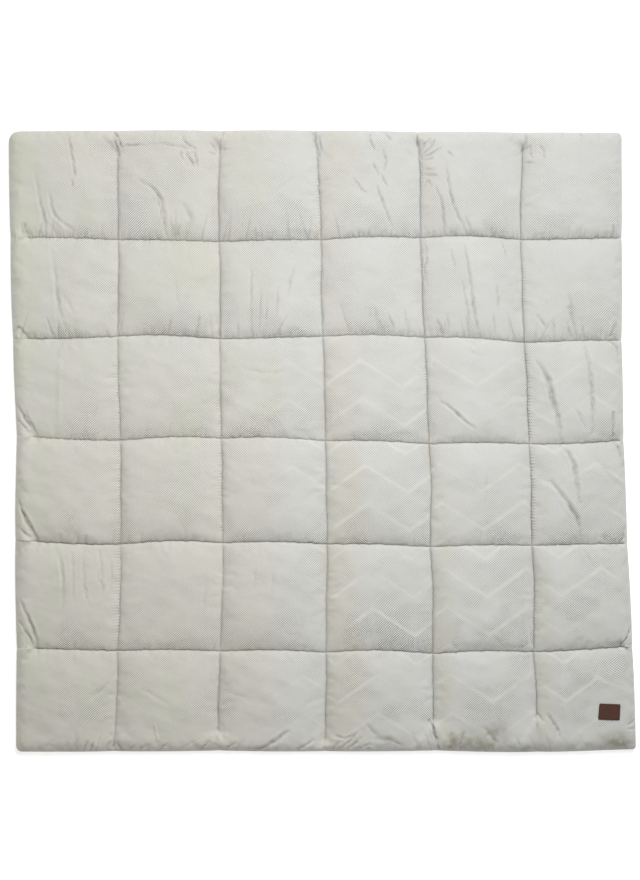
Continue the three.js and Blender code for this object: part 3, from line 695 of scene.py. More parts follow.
def close_lines():
    """Grid lines in squares: close beside the stitching, where the cloth turns most."""
    near = np.array(BESIDE_STITCHING) / PITCH
    inner = 1 - 2 * near[-1]
    cells = round(inner * PITCH / CELL)
    between = near[-1] + inner * np.arange(cells + 1) / cells
    return in_every_square(np.concatenate([[0], near[:-1], between, 1 - near[:-1][::-1]]))


def distance_to_stitching(u, v):
    """How far a point is from the nearest line that is sewn there, down and across the quilt."""
    line_u = np.round(u).astype(int)
    line_v = np.round(v).astype(int)
    sewn_down = looseness(STOPS_DOWN, line_u, v) == 0
    sewn_across = looseness(STOPS_ACROSS, line_v, u) == 0
    down = np.where(is_edge(line_u) | sewn_down, np.abs(u - line_u), 1)
    across = np.where(is_edge(line_v) | sewn_across, np.abs(v - line_v), 1)
    return down * PITCH, across * PITCH


def stuff(piece):
    """Blows the cloth up between its stitching with Blender's cloth simulation. Returns the moves."""
    start = read_points(piece.data)
    down, across = distance_to_stitching(*noted(piece.data, "u", "v"))
    sewn = piece.vertex_groups.new(name="sewn")
    sewn.add(np.nonzero(np.minimum(down, across) < 0.01 * MM)[0].tolist(), 1.0, "REPLACE")
    cloth = piece.modifiers.new("cloth", "CLOTH")
    for name, value in STUFFED_CLOTH.items():
        setattr(cloth.settings, name, value)
    cloth.settings.effector_weights.gravity = 0
    cloth.point_cache.frame_start = 1
    cloth.point_cache.frame_end = STUFFING["frames"]
    for frame_number in range(1, STUFFING["frames"] + 1):
        bpy.context.scene.frame_set(frame_number)
    moves = read_points(evaluated(piece).data) - start
    bpy.context.scene.frame_set(1)
    far = np.linalg.norm(moves, axis=1, keepdims=True)
    # A soft cap: short moves stay as they are, and long ones come close to the cap.
    return moves * STUFFING["cap"] * np.tanh(far / STUFFING["cap"]) / np.maximum(far, 1e-9)


def blend_weights(lines, cells):
    """How much of each even grid line goes into each of the lines, smoothly within a square."""
    weights = np.zeros((len(lines), cells * SQUARES + 1))
    for i, line in enumerate(lines):
        square = min(int(line), SQUARES - 1)
        at = (line - square) * cells
        k = min(int(at), cells - 1)
        t = at - k
        curve = ((-t + 2 * t**2 - t**3) / 2, (2 - 5 * t**2 + 3 * t**3) / 2,
                 (t + 4 * t**2 - 3 * t**3) / 2, (t**3 - t**2) / 2)
        first = square * cells
        for share, step in zip(curve, (k - 1, k, k + 1, k + 2)):
            if step < 0:
                weights[i, first] += 2 * share
                weights[i, first + 1] -= share
            elif step > cells:
                weights[i, first + cells] += 2 * share
                weights[i, first + cells - 1] -= share
            else:
                weights[i, first + step] += share
    return weights


def own_puckers(field):
    """What the stuffing does to each square alone, without the shape that all of them share."""
    inner = range(1, SQUARES - 1)
    size = STUFFED_CELLS
    squares = [field[j * size:(j + 1) * size, i * size:(i + 1) * size] for j in inner for i in inner]
    shared = np.tile(np.mean(squares, axis=0), (SQUARES, SQUARES, 1))
    own = field[:-1, :-1] - shared
    broad = own
    for _ in range(PUCKERS_WITHIN):
        for axis in (0, 1):
            broad = (np.roll(broad, 1, axis) + 2 * broad + np.roll(broad, -1, axis)) / 4
    puckers = np.zeros_like(field)
    puckers[:-1, :-1] = own - broad
    return puckers


def stuffed_moves(lines):
    """How far the stuffing puckers the cloth where these grid lines cross, as rows and columns."""
    trial, row, column = cut_cloth("trial", np.arange(STUFFED_CELLS * SQUARES + 1) / STUFFED_CELLS)
    u, v = noted(trial.data, "u", "v")
    x, y = place(u, v)
    move_points(trial.data, np.stack([x, y, upper_height(u, v)], axis=1))
    moves = stuff(trial)
    field = np.empty((row.max() + 1, column.max() + 1, 3))
    field[row, column] = moves
    bpy.data.objects.remove(trial)
    field = PUCKERED * own_puckers(field)
    weights = blend_weights(lines, STUFFED_CELLS)
    return np.stack([weights @ field[:, :, axis] @ weights.T for axis in range(3)], axis=2)


def nearest_on(path, x, y):
    """The distance to a path, and how far along it the nearest point is, from 0 to 1."""
    best = np.full(x.shape, np.inf)
    part = np.zeros(x.shape)
    steps = len(path) - 1
    for i, (start, end) in enumerate(zip(path, path[1:])):
        way = end - start
        t = np.clip(((x - start[0]) * way[0] + (y - start[1]) * way[1]) / (way @ way), 0, 1)
        distance = np.hypot(x - start[0] - t * way[0], y - start[1] - t * way[1])
        nearer = distance < best
        part = np.where(nearer, (i + t) / steps, part)
        best = np.where(nearer, distance, best)
    return best, part


def smooth_path(points, between=6):
    """The same path with a curve through its points."""
    if len(points) < 3:
        return points
    at = np.linspace(0, len(points) - 1, (len(points) - 1) * between + 1)
    return np.stack([along(points.T, axis, at) for axis in (0, 1)], axis=1)


def creased(x, y):
    """How far down the creases press the cloth, and how much painted shade each point gets down in a fold."""
    depth = np.zeros(x.shape)
    fold = np.zeros(x.shape)
    for crease in CREASES:
        path = smooth_path(np.stack(place(*np.array(crease["path"]).T), axis=1))
        wide = crease["wide"] * MM
        reach = 4 * wide
        low = path.min(axis=0) - reach
        high = path.max(axis=0) + reach
        near = np.nonzero((x > low[0]) & (x < high[0]) & (y > low[1]) & (y < high[1]))[0]
        # A fold wavers a little, and is tighter in some stretches than in others.
        stray_x = STRAY * (np.sin(y[near] * 310 + wide * 900) + 0.6 * np.sin(y[near] * 710 + x[near] * 300))
        stray_y = STRAY * np.sin(x[near] * 290 + wide * 700)
        distance, part = nearest_on(path, x[near] + stray_x, y[near] + stray_y)
        tight = 1 + 0.35 * np.sin(part * 17 + crease["deep"] * 9) * np.sin(part * 7 + crease["wide"] * 3)
        fade = mix(crease.get("ends", CREASE_END), 1, np.sin(math.pi * part)) * tight
        trough = SHARP["deep"] * np.exp(-((distance / (wide * SHARP["wide"])) ** 2))
        trough += HOLLOW["deep"] * np.exp(-((distance / (wide * HOLLOW["wide"])) ** 2))
        ridge = np.exp(-((distance / wide - RIDGE["out"]) ** 2) * 3) * RIDGE["height"]
        depth[near] += crease["deep"] * MM * fade * (trough - ridge)
        # Painted shade down in the fold, more where the crease is steep.
        if crease["deep"] > 0:
            steep = min(1.2 * crease["deep"] / crease["wide"], 0.95)
            painted_fold_shade = np.exp(-((distance / max(FOLD_SHADE_WIDE, wide * 0.3)) ** 2)) * fade * steep
            fold[near] = np.maximum(fold[near], painted_fold_shade)
    return depth, fold


def gathered(u, v):
    """How far down the short gathers beside the lines across press the cloth, and the painted shade in their
    folds.
    """
    depth = np.zeros(u.shape)
    fold = np.zeros(u.shape)
    dice = np.random.default_rng(SEED)
    for kind in GATHERS:
        way = -1 if kind["side"] == "head" else 1
        for line in kind["rows"]:
            away = (v - line) * way * PITCH
            band = np.nonzero((away > 0) & (away < kind["long"][1] * MM))[0]
            for start in np.arange(0.05, SQUARES - 0.05, kind["every"] * MM / PITCH):
                at = start + dice.uniform(-1.2, 1.2) * kind["every"] * MM / PITCH
                low, high = kind["long"]
                much = dice.uniform() ** 3.2
                long = (low + (high - low) * much) * MM
                deep = mix(*kind["deep"], 0.5 * dice.uniform() + 0.5 * much) * MM
                wide = dice.uniform(*kind["wide"]) * MM
                lean = dice.normal() * kind["lean"]
                close = band[np.abs(u[band] - at) * PITCH < 3 * wide + abs(lean) * long]
                out = away[close]
                side = (u[close] - at) * PITCH - lean * out
                left = np.clip(1 - out / long, 0, 1)
                fade = np.clip(out / (1.0 * MM), 0, 1) * left
                wide = wide * (0.75 + 0.8 * left)
                press = np.exp(-((side / wide) ** 2)) - 0.35 * np.exp(-((side / wide - 1.8) ** 2))
                depth[close] += deep * fade * press
                # Painted shade down in the gather's fold.
                painted_fold_shade = np.exp(-((side / FOLD_SHADE_WIDE) ** 2)) * fade * deep / (1.8 * MM)
                fold[close] = np.maximum(fold[close], painted_fold_shade)
    return depth, fold


def waver(line, at, lengths):
    """A line of stitching's small wavering, from -1 to 1."""
    turn = [chance(line, length) * math.pi for length in lengths]
    waves = [np.sin(at * PITCH * 2 * math.pi / (length * MM) + t) for length, t in zip(lengths, turn)]
    return sum(waves) / math.sqrt(len(lengths))


def scalloped(u, v):
    """How far the cloth by a line of stitching shifts right and up with the line's wavering."""
    down, across = distance_to_stitching(u, v)
    by_down = np.exp(-((down / SCALLOPS["within"]) ** 2)) * ~is_edge(np.round(u))
    by_across = np.exp(-((across / SCALLOPS["within"]) ** 2)) * ~is_edge(np.round(v))
    right = SCALLOPS["down"] * waver(np.round(u), v, SCALLOPS["lengths"])
    up = SCALLOPS["across"] * waver(np.round(v) + 9, u, SCALLOPS["lengths"])
    # Over a line across, and left of a line down, the square's side bulges out above the stitching.
    bulge_down = down / OVERHANG["at"] * np.exp(1 - down / OVERHANG["at"]) * (u < np.round(u))
    bulge_across = across / OVERHANG["at"] * np.exp(1 - across / OVERHANG["at"]) * (v < np.round(v))
    right = right + OVERHANG["left"] * bulge_down * (1 + 0.5 * waver(np.round(u) + 40, v, (10, 17, 29)))
    up = up - OVERHANG["over"] * bulge_across * (1 + 0.6 * waver(np.round(v) + 50, u, (8, 13, 21, 34)))
    return right * by_down * (1 - by_across), up * by_across * (1 - by_down)


def painted_seam_shade(u, v):
    """How much painted shade darkens the cloth down in the stitching."""
    dark = np.zeros(u.shape)
    down, across = distance_to_stitching(u, v)
    across = across * np.sign(v - np.round(v)) + SEAM_PAINTED_SHADE["up"]
    for at, off, name in ((u, down, "down"), (v, across, "across")):
        lines = np.array((0, *SEAM_PAINTED_SHADE[name], 0))
        dark = np.maximum(dark, lines[np.round(at).astype(int)] * np.exp(-((off / SEAM_PAINTED_SHADE["wide"]) ** 2)))
    return dark


def slack(u, v):
    """How much lower or higher the squares' sides are in places, just off the stitching."""
    down, across = distance_to_stitching(u, v)
    from_down = np.exp(-down / SLACK_BESIDE["within"]) * waver(np.round(u) + 20, v, (17, 29, 44))
    from_across = np.exp(-across / SLACK_BESIDE["within"]) * waver(np.round(v) + 30, u, (15, 26, 41))
    return SLACK_BESIDE["by"] * (from_down + from_across)


def lumps(x, y):
    """Soft lumps of the filling, from waves that cross at chance angles."""
    dice = np.random.default_rng(SEED + 1)
    height = np.zeros(x.shape)
    for lump in SOFT_LUMPS:
        for _ in range(LUMP_WAVES):
            turn = dice.uniform(0, 2 * math.pi)
            length = lump["size"] * dice.uniform(0.7, 1.5)
            across = (x * math.cos(turn) + y * math.sin(turn)) * 2 * math.pi / length
            height += lump["height"] / math.sqrt(LUMP_WAVES) * np.sin(across + dice.uniform(0, 2 * math.pi))
    return height


def lay_upper_cloth():
    """The quilted upper cloth, with its puckers, creases and gathers."""
    lines = close_lines()
    piece, row, column = cut_cloth("quilt", lines)
    u, v = noted(piece.data, "u", "v")
    x, y = place(u, v)
    points = np.stack([x, y, upper_height(u, v)], axis=1)
    points += stuffed_moves(lines)[row, column]
    # Nothing presses the cloth down on its stitching, so all these fade out towards it.
    raised = np.clip((points[:, 2] - STITCH_TOP) / (CROWN - STITCH_TOP), 0, 1)
    depth, fold = creased(x, y)
    short_depth, short_fold = gathered(u, v)
    points[:, 2] -= np.sqrt(raised) * (depth + short_depth + slack(u, v)) - raised * lumps(x, y)
    right, up = scalloped(u, v)
    points[:, 0] += right - MIDDLE[0]
    points[:, 1] += up - MIDDLE[1]
    move_points(piece.data, points)
    # The fold attribute is painted shade: in the creases, the gathers and the stitching.
    fold = np.clip(np.maximum(fold, short_fold), 0, 1) * np.sqrt(raised)
    note(piece.data, "fold", np.maximum(fold, painted_seam_shade(u, v)))
    return piece


def lay_lower_cloth():
    """The flat lower cloth, with a shallow channel over each line of stitching."""
    start = (RIM_UNDER + JOINED_IN) / PITCH
    end = SQUARES - start
    lines = in_every_square(UNDER_LINES)
    lines = np.concatenate([[start], lines[(lines > start + 0.01) & (lines < end - 0.01)], [end]])
    piece, row, column = cut_cloth("lower_cloth", lines)
    u, v = noted(piece.data, "u", "v")
    x, y = place(u, v)
    down, across = distance_to_stitching(u, v)
    down = np.where(is_edge(np.round(u)), 1, down)
    across = np.where(is_edge(np.round(v)), 1, across)
    z = STITCH_UNDER * np.exp(-np.minimum(down, across) / UNDER_CHANNEL)
    z[(row == 0) | (column == 0) | (row == row.max()) | (column == column.max())] = 0
    z[z < 0.02 * MM] = 0
    move_points(piece.data, np.stack([x - MIDDLE[0], y - MIDDLE[1], z], axis=1))
    return piece


def turn_edge(quilt, lower):
    """Rolls the upper cloth's edge under in bands and joins it to the lower cloth."""
    shell = bmesh.new()
    shell.from_mesh(quilt.data)
    shell.verts.ensure_lookup_table()
    u_of = shell.verts.layers.float["u"]
    v_of = shell.verts.layers.float["v"]
    loop = [edge for edge in shell.edges if edge.is_boundary]
    for turn in range(1, EDGE_TURNS + 1):
        made = bmesh.ops.extrude_edge_only(shell, edges=loop)["geom"]
        points = [item for item in made if isinstance(item, bmesh.types.BMVert)]
        loop = [item for item in made if isinstance(item, bmesh.types.BMEdge) and item.is_boundary]
        angle = math.pi / 2 * turn / EDGE_TURNS
        inset = RIM_UNDER / PITCH * (1 - math.cos(angle))
        u = np.clip([point[u_of] for point in points], inset, SQUARES - inset)
        v = np.clip([point[v_of] for point in points], inset, SQUARES - inset)
        x, y = place(u, v)
        for point, across, up in zip(points, x - MIDDLE[0], y - MIDDLE[1]):
            point.co = (across, up, STITCH_TOP * (1 - math.sin(angle)))
    bmesh.ops.remove_doubles(shell, verts=shell.verts, dist=0.01 * MM)
    shell.from_mesh(lower.data)
    bpy.data.objects.remove(lower)
    two_rims = [edge for edge in shell.edges if edge.is_boundary]
    bmesh.ops.triangle_fill(shell, edges=two_rims, use_beauty=True, normal=(0, 0, -1))
    bmesh.ops.recalc_face_normals(shell, faces=shell.faces)
    shell.to_mesh(quilt.data)
    shell.free()
    quilt.data.shade_smooth()


def laid(part, sides):
    """How much of a square's cloth lies before that part of its width: more on its steep sides."""
    steps = np.linspace(0, 1, 401)
    full = stood_up(steps, sides)
    lengths = np.hypot(np.diff(steps * PITCH), np.diff(full * (CROWN - STITCH_TOP)))
    return np.interp(part, steps, np.append(0, np.cumsum(lengths)) / lengths.sum())


def lay_weave(mesh):
    """Gives the cloth its flat weave's place, in metres, and its place in squares, as UV maps."""
    u, v = noted(mesh, "u", "v")
    column = square_of(u)
    row = square_of(v)
    flat_u = column + laid(u - column, BESIDE_DOWN)
    flat_v = row + laid(v - row, BESIDE_ACROSS)
    flat_x, flat_y = place(flat_u, flat_v)
    far = np.hypot(u - WEAVE_DRAWN["u"], v - WEAVE_DRAWN["v"]) / WEAVE_DRAWN["within"]
    flat_x += WEAVE_DRAWN["across"] * np.exp(-far * far)
    flat_y += WEAVE_DRAWN["down"] * np.exp(-far * far)
    corners = np.empty(len(mesh.loops), np.int32)
    mesh.loops.foreach_get("vertex_index", corners)  # which point each corner of a face is
    for name, across, up in (("weave", flat_x, flat_y), ("squares", u, v)):
        layer = mesh.uv_layers.new(name=name)
        layer.uv.foreach_set("vector", np.stack([across, up], axis=1)[corners].astype(np.float32).ravel())


def tint(mesh):
    """Notes how warm the cloth's grey is at each point."""
    u, v = noted(mesh, "u", "v")
    x, y = place(u, v)
    stray = 0.05 * np.sin(y * 23 + np.sin(x * 9) * 2) + 0.03 * np.sin(y * 61 + x * 17)
    across = np.interp(u + stray, [row["u"] for row in WARM_ACROSS], [row["warm"] for row in WARM_ACROSS])
    down = np.interp(v, [row["v"] for row in WARM_DOWN], [row["shows"] for row in WARM_DOWN])
    note(mesh, "warmth", across * down)


def stain(mesh):
    """Notes how stained the cloth is at each point."""
    u, v = noted(mesh, "u", "v")
    dark = np.zeros(u.shape)
    for mark in STAINS:
        away = np.hypot((u - mark["u"]) / mark["across"], (v - mark["v"]) / mark["down"])
        dark = 1 - (1 - dark) * (1 - mark["dark"] * np.exp(-(away**3)))
    note(mesh, "stained", dark)


def ribbed(mesh):
    """Notes how ribbed the cloth is at each point beside the lines down."""
    u, v = noted(mesh, "u", "v")
    much = np.zeros(u.shape)
    for stretch in RIBBED:
        away = (u - stretch["line"]) * (-1 if stretch["side"] == "left" else 1) * PITCH
        ends = smoothstep((v - stretch["start"]) / 0.08) * smoothstep((stretch["end"] - v) / 0.08)
        beside = (away >= 0) * np.clip(1 - away / RIBS["within"], 0, 1)
        much = np.maximum(much, stretch["much"] * ends * beside)
    note(mesh, "ribbed", much)


def surface_of(piece):
    """The piece's faces, to find where a straight line meets them."""
    return BVHTree.FromObject(piece, bpy.context.evaluated_depsgraph_get())


def top_at(surface, x, y):
    """The height of the surface's top over each x and y."""
    down = Vector((0, 0, -1))
    hits = [surface.ray_cast(Vector((a, b, 1.0)), down)[0] for a, b in zip(x, y)]
    return np.array([hit.z for hit in hits])


def turned(x, y, degrees):
    """The same place after a turn about the middle."""
    turn = math.radians(degrees)
    return x * math.cos(turn) - y * math.sin(turn), x * math.sin(turn) + y * math.cos(turn)


def leant(across, up):
    """The patch's lower left corner reaches a little further left than its upper one."""
    low = 0.5 - up / PATCH["high"]
    return across - PATCH["lean"] * low * np.maximum(-across, 0) / (PATCH["wide"] / 2)


def cubic_terms(across, up):
    """The terms of a smooth surface of the third degree, a column for each."""
    return np.stack([across**i * up**j for i in range(4) for j in range(4 - i)], axis=1)


def patch_bed(quilt):
    """A smooth bed for the leather over the cloth, as a function of x and y."""
    steps_x = np.linspace(-0.6, 0.6, 33) * PATCH["wide"]
    steps_y = np.linspace(-0.6, 0.6, 25) * PATCH["high"]
    across, up = np.meshgrid(steps_x, steps_y)
    x, y = turned(across.ravel(), up.ravel(), PATCH["turn"])
    z = top_at(surface_of(quilt), x + PATCH_X, y + PATCH_Y)
    terms = cubic_terms(across.ravel(), up.ravel())
    scale = np.abs(terms).max(axis=0)
    fit = np.linalg.lstsq(terms / scale, z, rcond=None)[0]
    over = (z - terms / scale @ fit).max() + PATCH_CLEAR

    def bed(across, up):
        return cubic_terms(across, up) / scale @ fit + over

    return bed


def cut_patch(bed):
    """A thin plate of leather with rounded corners and a worn edge, which lies along the cloth."""
    cells = round(PATCH["wide"] / PATCH_CELL), round(PATCH["high"] / PATCH_CELL)
    plate = bmesh.new()
    bmesh.ops.create_grid(plate, x_segments=cells[0], y_segments=cells[1], size=0.5)
    bmesh.ops.solidify(plate, geom=plate.faces[:], thickness=0.4)
    bmesh.ops.recalc_face_normals(plate, faces=plate.faces)
    mesh = mesh_of("patch", plate)
    points = read_points(mesh)
    upper = points[:, 2] > points[:, 2].mean()
    wide, high = PATCH["wide"] / 2, PATCH["high"] / 2
    across = points[:, 0] * 2 * wide
    up = points[:, 1] * 2 * high
    # The corners are rounded, and each side bends a little where it has been worn.
    corner = PATCH["corner"]
    a = np.maximum(np.abs(across) - wide + corner, 0) / corner
    b = np.maximum(np.abs(up) - high + corner, 0) / corner
    in_x = corner * a * np.sqrt(1 - b * b / 2)
    in_y = corner * b * np.sqrt(1 - a * a / 2)
    across = np.sign(across) * (np.minimum(np.abs(across), wide - corner) + in_x)
    up = np.sign(up) * (np.minimum(np.abs(up), high - corner) + in_y)
    edge = np.minimum(wide - np.abs(across), high - np.abs(up))
    in_corner = corner * (1 - np.sqrt(np.minimum(a * a + b * b - a * a * b * b, 1)))
    edge = np.where((a > 0) & (b > 0), in_corner, edge)
    across = leant(across, up)
    rounded = PATCH_EDGE * (1 - np.sqrt(1 - np.clip(1 - edge / PATCH_EDGE, 0, 1) ** 2))
    z = bed(across, up) + np.where(upper, PATCH["thick"] - rounded, rounded * 0.5)
    x, y = turned(across, up, PATCH["turn"])
    move_points(mesh, np.stack([x + PATCH_X, y + PATCH_Y, z], axis=1))
    note(mesh, "edge", np.clip(1 - edge / PATCH["dark_edge"], 0, 1))
    mesh.shade_smooth()
    return put("patch", mesh)


def sew(name, spots, ways, size):
    """Stitches at those spots, each a short length of thread whose ends dip into the cloth."""
    thread = bmesh.new()
    bmesh.ops.create_uvsphere(thread, u_segments=6, v_segments=4, radius=0.5)
    piece = put(name, mesh_of(name, thread))
    one = read_points(piece.data) * (size["thick"], size["thick"], size["long"])
    copies = piece.modifiers.new("stitches", "ARRAY")
    copies.use_relative_offset = False
    copies.count = len(spots)
    piece.data = bpy.data.meshes.new_from_object(evaluated(piece))
    piece.modifiers.clear()
    lies = [Vector(way).to_track_quat("Z", "Y").to_matrix() for way in ways]
    points = [one @ np.array(lie).T + spot for lie, spot in zip(lies, spots)]
    move_points(piece.data, np.concatenate(points))
    piece.data.shade_smooth()
    return piece


def sew_lines(quilt):
    """Stitches along every line, as far as it is sewn."""
    surface = surface_of(quilt)
    step = STITCH["pitch"] / PITCH
    spots = []
    ways = []
    for line in range(1, SQUARES):
        for stops in (STOPS_DOWN, STOPS_ACROSS):
            first, last = stops[line - 1] / PITCH
            at = np.arange(first, SQUARES - last, step)
            fixed = np.full_like(at, line)
            u, v = (fixed, at) if stops is STOPS_DOWN else (at, fixed)
            x, y = place(u, v)
            right, up = scalloped(u, v)
            x = x + right - MIDDLE[0]
            y = y + up - MIDDLE[1]
            line_points = np.stack([x, y, top_at(surface, x, y) + STITCH["proud"]], axis=1)
            spots.extend(line_points[1:-1])
            ways.extend(line_points[2:] - line_points[:-2])
    return sew("quilting_thread", spots, ways, STITCH)


def sew_patch(bed):
    """Small stitches round the leather, a little in from its edge."""
    wide = PATCH["wide"] / 2 - PATCH_STITCH["inset"]
    high = PATCH["high"] / 2 - PATCH_STITCH["inset"]
    corners = ((-wide, -high), (wide, -high), (wide, high), (-wide, high))
    spots = []
    ways = []
    for start, end in zip(corners, corners[1:] + corners[:1]):
        count = round(math.hypot(end[0] - start[0], end[1] - start[1]) / PATCH_STITCH["pitch"])
        part = (np.arange(count) + 0.5) / count
        across = leant(mix(start[0], end[0], part), mix(start[1], end[1], part))
        up = mix(start[1], end[1], part)
        x, y = turned(across, up, PATCH["turn"])
        z = bed(across, up) + PATCH["thick"] + PATCH_STITCH["thick"] * 0.15
        spots.extend(np.stack([x + PATCH_X, y + PATCH_Y, z], axis=1))
        ways.extend([(*turned(end[0] - start[0], end[1] - start[1], PATCH["turn"]), 0)] * count)
    return sew("patch_thread", spots, ways, PATCH_STITCH)


class Number:
    """A number that varies over a surface. Sums on it add nodes to its finish."""

    def __init__(self, finish, socket):
        self.finish = finish
        self.socket = socket

    def math(self, operation, *others):
        return self.finish.math(operation, self, *others)

    def __add__(self, other):
        return self.math("ADD", other)

    def __sub__(self, other):
        return self.math("SUBTRACT", other)

    def __mul__(self, other):
        return self.math("MULTIPLY", other)

    def __rsub__(self, other):
        return self.finish.math("SUBTRACT", other, self)

    __radd__ = __add__
    __rmul__ = __mul__

    def step(self, low, high):
        """0 up to low, 1 from high, and smooth between them."""
        inputs = {"Value": self, "From Min": low, "From Max": high}
        return self.finish.node("ShaderNodeMapRange", dict(interpolation_type="SMOOTHSTEP"), inputs)

    def fall(self, low, high):
        """1 up to low, 0 from high, and smooth between them."""
        return 1 - self.step(low, high)

    def wave(self, length, stray=0.0):
        """A wave along the number, from -1 to 1. A stray shifts it."""
        return (self * (2 * math.pi / length) + stray).math("SINE")

    def clamped(self):
        return self.math("MAXIMUM", 0.0).math("MINIMUM", 1.0)


class Finish:
    """A material being made."""

    def __init__(self, name):
        self.material = bpy.data.materials.new(name)
        self.material.use_nodes = True
        self.tree = self.material.node_tree
        self.tree.nodes.clear()

    def node(self, kind, settings, inputs, output=0):
        """Any node, with its settings and what goes into its sockets."""
        node = self.tree.nodes.new(kind)
        for name, value in settings.items():
            setattr(node, name, value)
        for name, value in inputs.items():
            if isinstance(value, Number):
                self.tree.links.new(value.socket, node.inputs[name])
            else:
                node.inputs[name].default_value = value
        return Number(self, node.outputs[output])

    def math(self, operation, *values):
        return self.node("ShaderNodeMath", dict(operation=operation), dict(enumerate(values)))

    def place(self):
        return self.node("ShaderNodeTexCoord", {}, {}, output="Object")

    def laid(self, name):
        """The place on one of the piece's UV maps."""
        return self.node("ShaderNodeUVMap", dict(uv_map=name), {})

    def split(self, where):
        sockets = self.node("ShaderNodeSeparateXYZ", {}, {0: where}).socket.node.outputs
        return Number(self, sockets[0]), Number(self, sockets[1])

    def noted(self, name):
        """A number kept for each point of the piece."""
        return self.node("ShaderNodeAttribute", dict(attribute_name=name), {}, output="Fac")

    def noise(self, where, scale, detail):
        """Soft noise from 0 to 1. A scale for each way stretches it."""
        if isinstance(scale, tuple):
            where = self.node("ShaderNodeVectorMath", dict(operation="MULTIPLY"), {0: where, 1: scale})
            scale = 1.0
        return self.node("ShaderNodeTexNoise", {}, {"Vector": where, "Scale": scale, "Detail": detail})

    def swing(self, where, scale, detail):
        """The same noise about 0."""
        return self.noise(where, scale, detail) - 0.5

    def tone(self, part, colour, other):
        """The colour with that part of the other one, by the colour sockets of a Mix node."""
        return self.node("ShaderNodeMix", dict(data_type="RGBA"), {0: part, 6: colour, 7: other}, output=2)

    def shaded(self, colour, by):
        """The colour, lighter or darker by that factor."""
        return self.node("ShaderNodeVectorMath", dict(operation="SCALE"), {0: colour, "Scale": by})

    def bump(self, height):
        return self.node("ShaderNodeBump", {}, {"Height": height, "Distance": 1.0, "Strength": 1.0})

    def finish(self, inputs):
        """The material, with those inputs of its one shader."""
        shader = self.node("ShaderNodeBsdfPrincipled", {}, inputs)
        output = self.tree.nodes.new("ShaderNodeOutputMaterial")
        self.tree.links.new(shader.socket, output.inputs["Surface"])
        return self.material


def summed(shares, **parts):
    """The parts in their shares, added up."""
    return sum(parts[name] * share for name, share in shares.items())


# Finishes, as linear colours
COOL_GREY = (0.625, 0.628, 0.608, 1)
WARM_GREY = (0.617, 0.598, 0.545, 1)
OLIVE_GREY = (0.600, 0.602, 0.518, 1)
STAINED = (0.300, 0.292, 0.225, 1)
# The grey of the painted shade in the folds, the gathers and the stitching.
PAINTED_SHADE_GREY = (0.235, 0.200, 0.165, 1)
PALE = (0.70, 0.70, 0.67, 1)
THREAD = (0.60, 0.59, 0.54, 1)
LEATHER = (0.090, 0.032, 0.0175, 1)
LEATHER_DARK = (0.036, 0.0155, 0.0095, 1)
CLOTH_SHINE = {"Roughness": 0.92, "Sheen Weight": 0.25, "Sheen Roughness": 0.6, "Specular IOR Level": 0.25}
# How much each thing lightens the cloth, and how far it stands up. The painted shade and the painted
# highlight are painted light, and the ribs' share of the tone is painted shade in their lows.
SHADES = dict(rib=0.04, dull=-0.06, lines=0.38, seen=0.04, lip=0.055, grain=0.09, cloud=0.08, yarn=0.16)
RELIEF = dict(
    lines=0.33 * MM, rib=RIBS["high"], tuck=0.26 * MM, yarn=0.14 * MM, uneven=0.3 * MM, band=0.06 * MM,
    pinched=-0.45 * MM,
)


